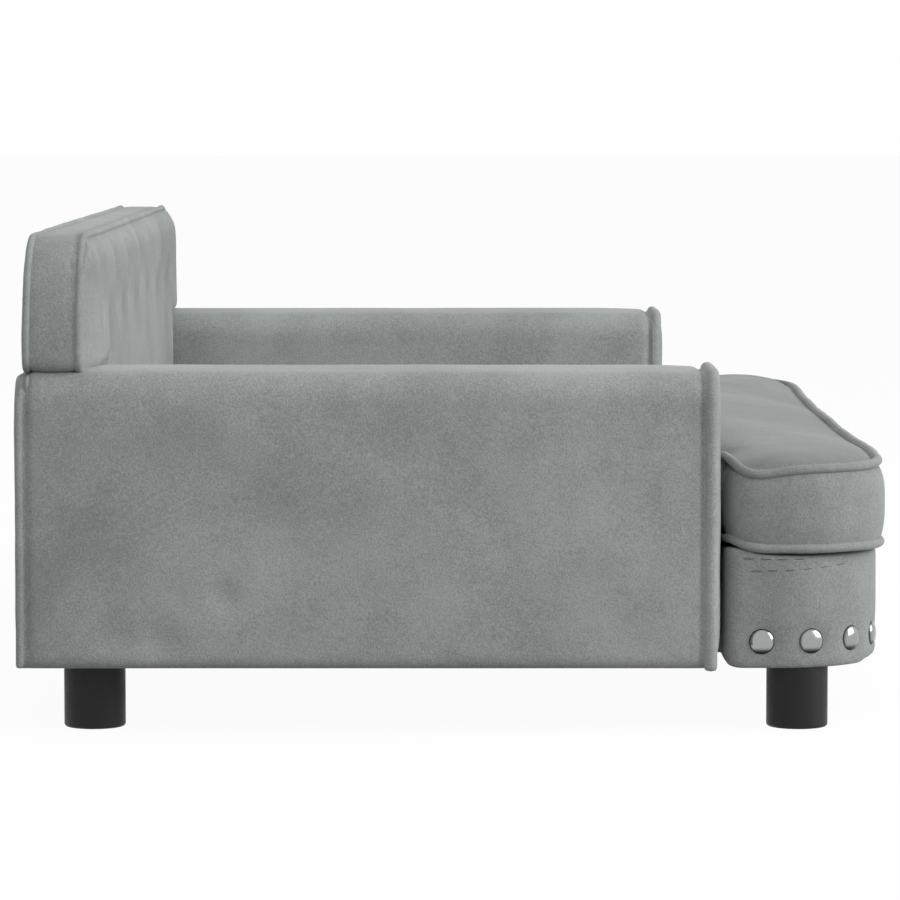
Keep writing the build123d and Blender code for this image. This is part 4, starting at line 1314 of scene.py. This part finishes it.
class SOFA_OT_hardware(bpy.types.Operator):
    """Finishes for the feet, the wooden frame, the bolts and the slider"""

    bl_idname = "sofa.hardware"
    bl_label = "Feet, wood and bolts"

    wood = ("base_deck", "base_front_rail", "base_rear_rail", "base_side", "base_centre", "base_corner")
    back_wood = ("back_top_rail", "back_bottom_rail", "back_posts", "back_board")
    arm_wood = ("outer_panel", "inner_panel", "top_rail", "bottom_rail", "posts")

    def execute(self, context):
        arms = [f"arm_{side}_{part}" for side in sides for part in self.arm_wood]
        paint_cad((*self.wood, *self.back_wood, *arms), "plywood")
        paint_cad(("t_nuts", "arm_bolts", "back_bolts", "foot_bolts"), "zinc")
        paint_cad(("foot_front", "foot_rear"), "black_plastic")
        paint_cad(("zip_slider",), "zip_metal")
        return {"FINISHED"}


class SOFA_OT_stage(bpy.types.Operator):
    """The floor, the lamps and the camera"""

    bl_idname = "sofa.stage"
    bl_label = "Stage"

    def execute(self, context):
        scene = context.scene
        stage = scene.sofa_stage
        scene.view_settings.view_transform = "Standard"

        camera = bpy.data.cameras.new("camera")
        camera.lens = stage.camera_lens
        camera.sensor_width = 36
        camera.clip_end = 100
        scene.camera = self.placed(
            camera,
            (-stage.camera_distance, stage.camera_aside, stage.camera_height),
            (math.pi / 2 - stage.camera_tilt, 0, -math.pi / 2),
        )

        bm = bmesh.new()
        bmesh.ops.create_grid(bm, x_segments=2, y_segments=2, size=30)
        floor = as_object("floor", bm)
        material = bpy.data.materials.new("floor")
        material.use_nodes = True
        tree = material.node_tree
        shader = tree.nodes["Principled BSDF"]
        shader.inputs["Base Color"].default_value = (*stage.floor_colour, 1)
        shader.inputs["Roughness"].default_value = 0.9
        shader.inputs["Specular IOR Level"].default_value = 0.0
        white = add_node(tree, "ShaderNodeEmission", {"Strength": 1.06})
        self.show(tree, 0.9, shader, white, "Material Output")
        floor.data.materials.append(material)

        world = bpy.data.worlds.new("studio")
        world.use_nodes = True
        tree = world.node_tree
        ambient = tree.nodes["Background"]
        ambient.inputs["Color"].default_value = (1, 0.985, 0.95, 1)
        ambient.inputs["Strength"].default_value = 0.42
        white = add_node(tree, "ShaderNodeBackground", {"Color": (1, 1, 1, 1), "Strength": 1.0})
        self.show(tree, 1.0, ambient, white, "World Output")
        scene.world = world

        for name, energy, size, place in (
            ("key", stage.key_power, 1.8, (-0.9, -2.6, 1.3)),
            ("fill", stage.fill_power, 1.6, (-2.9, 0.3, 1.8)),
            ("top", stage.top_power, 1.8, (1.0, 0.0, 2.6)),
        ):
            lamp = bpy.data.lights.new(name, "AREA")
            lamp.energy = energy
            lamp.color = (0.93, 0.97, 1.0)
            lamp.size = size
            aim = (Vector((0, 0, 0.15)) - Vector(place)).to_track_quat("-Z", "Y").to_euler()
            self.placed(lamp, place, aim).visible_glossy = name != "fill"
        return {"FINISHED"}

    @staticmethod
    def placed(data, place, turn):
        """A linked camera or lamp."""
        obj = bpy.data.objects.new(data.name, data)
        obj.location = place
        obj.rotation_euler = turn
        bpy.context.scene.collection.objects.link(obj)
        return obj

    @staticmethod
    def show(tree, share, plain, white, output):
        """Mixes a white shader in for rays that look straight at it or see it in gloss or glass."""
        path = add_node(tree, "ShaderNodeLightPath", {})
        seen = path.outputs["Is Camera Ray"]
        for name in ("Is Glossy Ray", "Is Transmission Ray"):
            both = {0: seen, 1: path.outputs[name]}
            seen = add_node(tree, "ShaderNodeMath", both, operation="ADD").outputs[0]
        seen = add_node(tree, "ShaderNodeMath", {0: seen, 1: 1.0}, operation="MINIMUM").outputs[0]
        seen = add_node(tree, "ShaderNodeMath", {0: seen, 1: share}, operation="MULTIPLY").outputs[0]
        mixed = add_node(tree, "ShaderNodeMixShader", {0: seen, 1: plain.outputs[0], 2: white.outputs[0]})
        tree.links.new(mixed.outputs[0], tree.nodes[output].inputs[0])


steps = (
    SOFA_OT_stage,
    SOFA_OT_hardware,
    SOFA_OT_arm_covers,
    SOFA_OT_arm_panels,
    SOFA_OT_arm_cords,
    SOFA_OT_back_front,
    SOFA_OT_back_sides,
    SOFA_OT_back_cords,
    SOFA_OT_buttons,
    SOFA_OT_base,
    SOFA_OT_nails,
    SOFA_OT_stitches,
    SOFA_OT_cushion,
    SOFA_OT_cushion_cords,
    SOFA_OT_cloths,
    SOFA_OT_zip,
)


class SOFA_PT_panel(bpy.types.Panel):
    """Lists the sofa's pieces in the sidebar"""

    bl_idname = "SOFA_PT_panel"
    bl_label = "Dog sofa bed"
    bl_space_type = "VIEW_3D"
    bl_region_type = "UI"
    bl_category = "Sofa"

    def draw(self, context):
        for group in (context.scene.sofa_sizes, context.scene.sofa_colours, context.scene.sofa_stage):
            column = self.layout.column()
            for name in group.bl_rna.properties.keys():
                if name not in ("rna_type", "name"):
                    column.prop(group, name)
        for step in steps:
            self.layout.operator(step.bl_idname)


classes = (SofaSizes, SofaColours, SofaStage, *steps, SOFA_PT_panel)


def register():
    for item in classes:
        bpy.utils.register_class(item)
    bpy.types.Scene.sofa_sizes = bpy.props.PointerProperty(type=SofaSizes)
    bpy.types.Scene.sofa_colours = bpy.props.PointerProperty(type=SofaColours)
    bpy.types.Scene.sofa_stage = bpy.props.PointerProperty(type=SofaStage)


def unregister():
    del bpy.types.Scene.sofa_sizes
    del bpy.types.Scene.sofa_colours
    del bpy.types.Scene.sofa_stage
    for item in reversed(classes):
        bpy.utils.unregister_class(item)


def main():
    register()
    for step in steps:
        group, name = step.bl_idname.split(".")
        getattr(getattr(bpy.ops, group), name)()


if __name__ == "__main__":
    main()
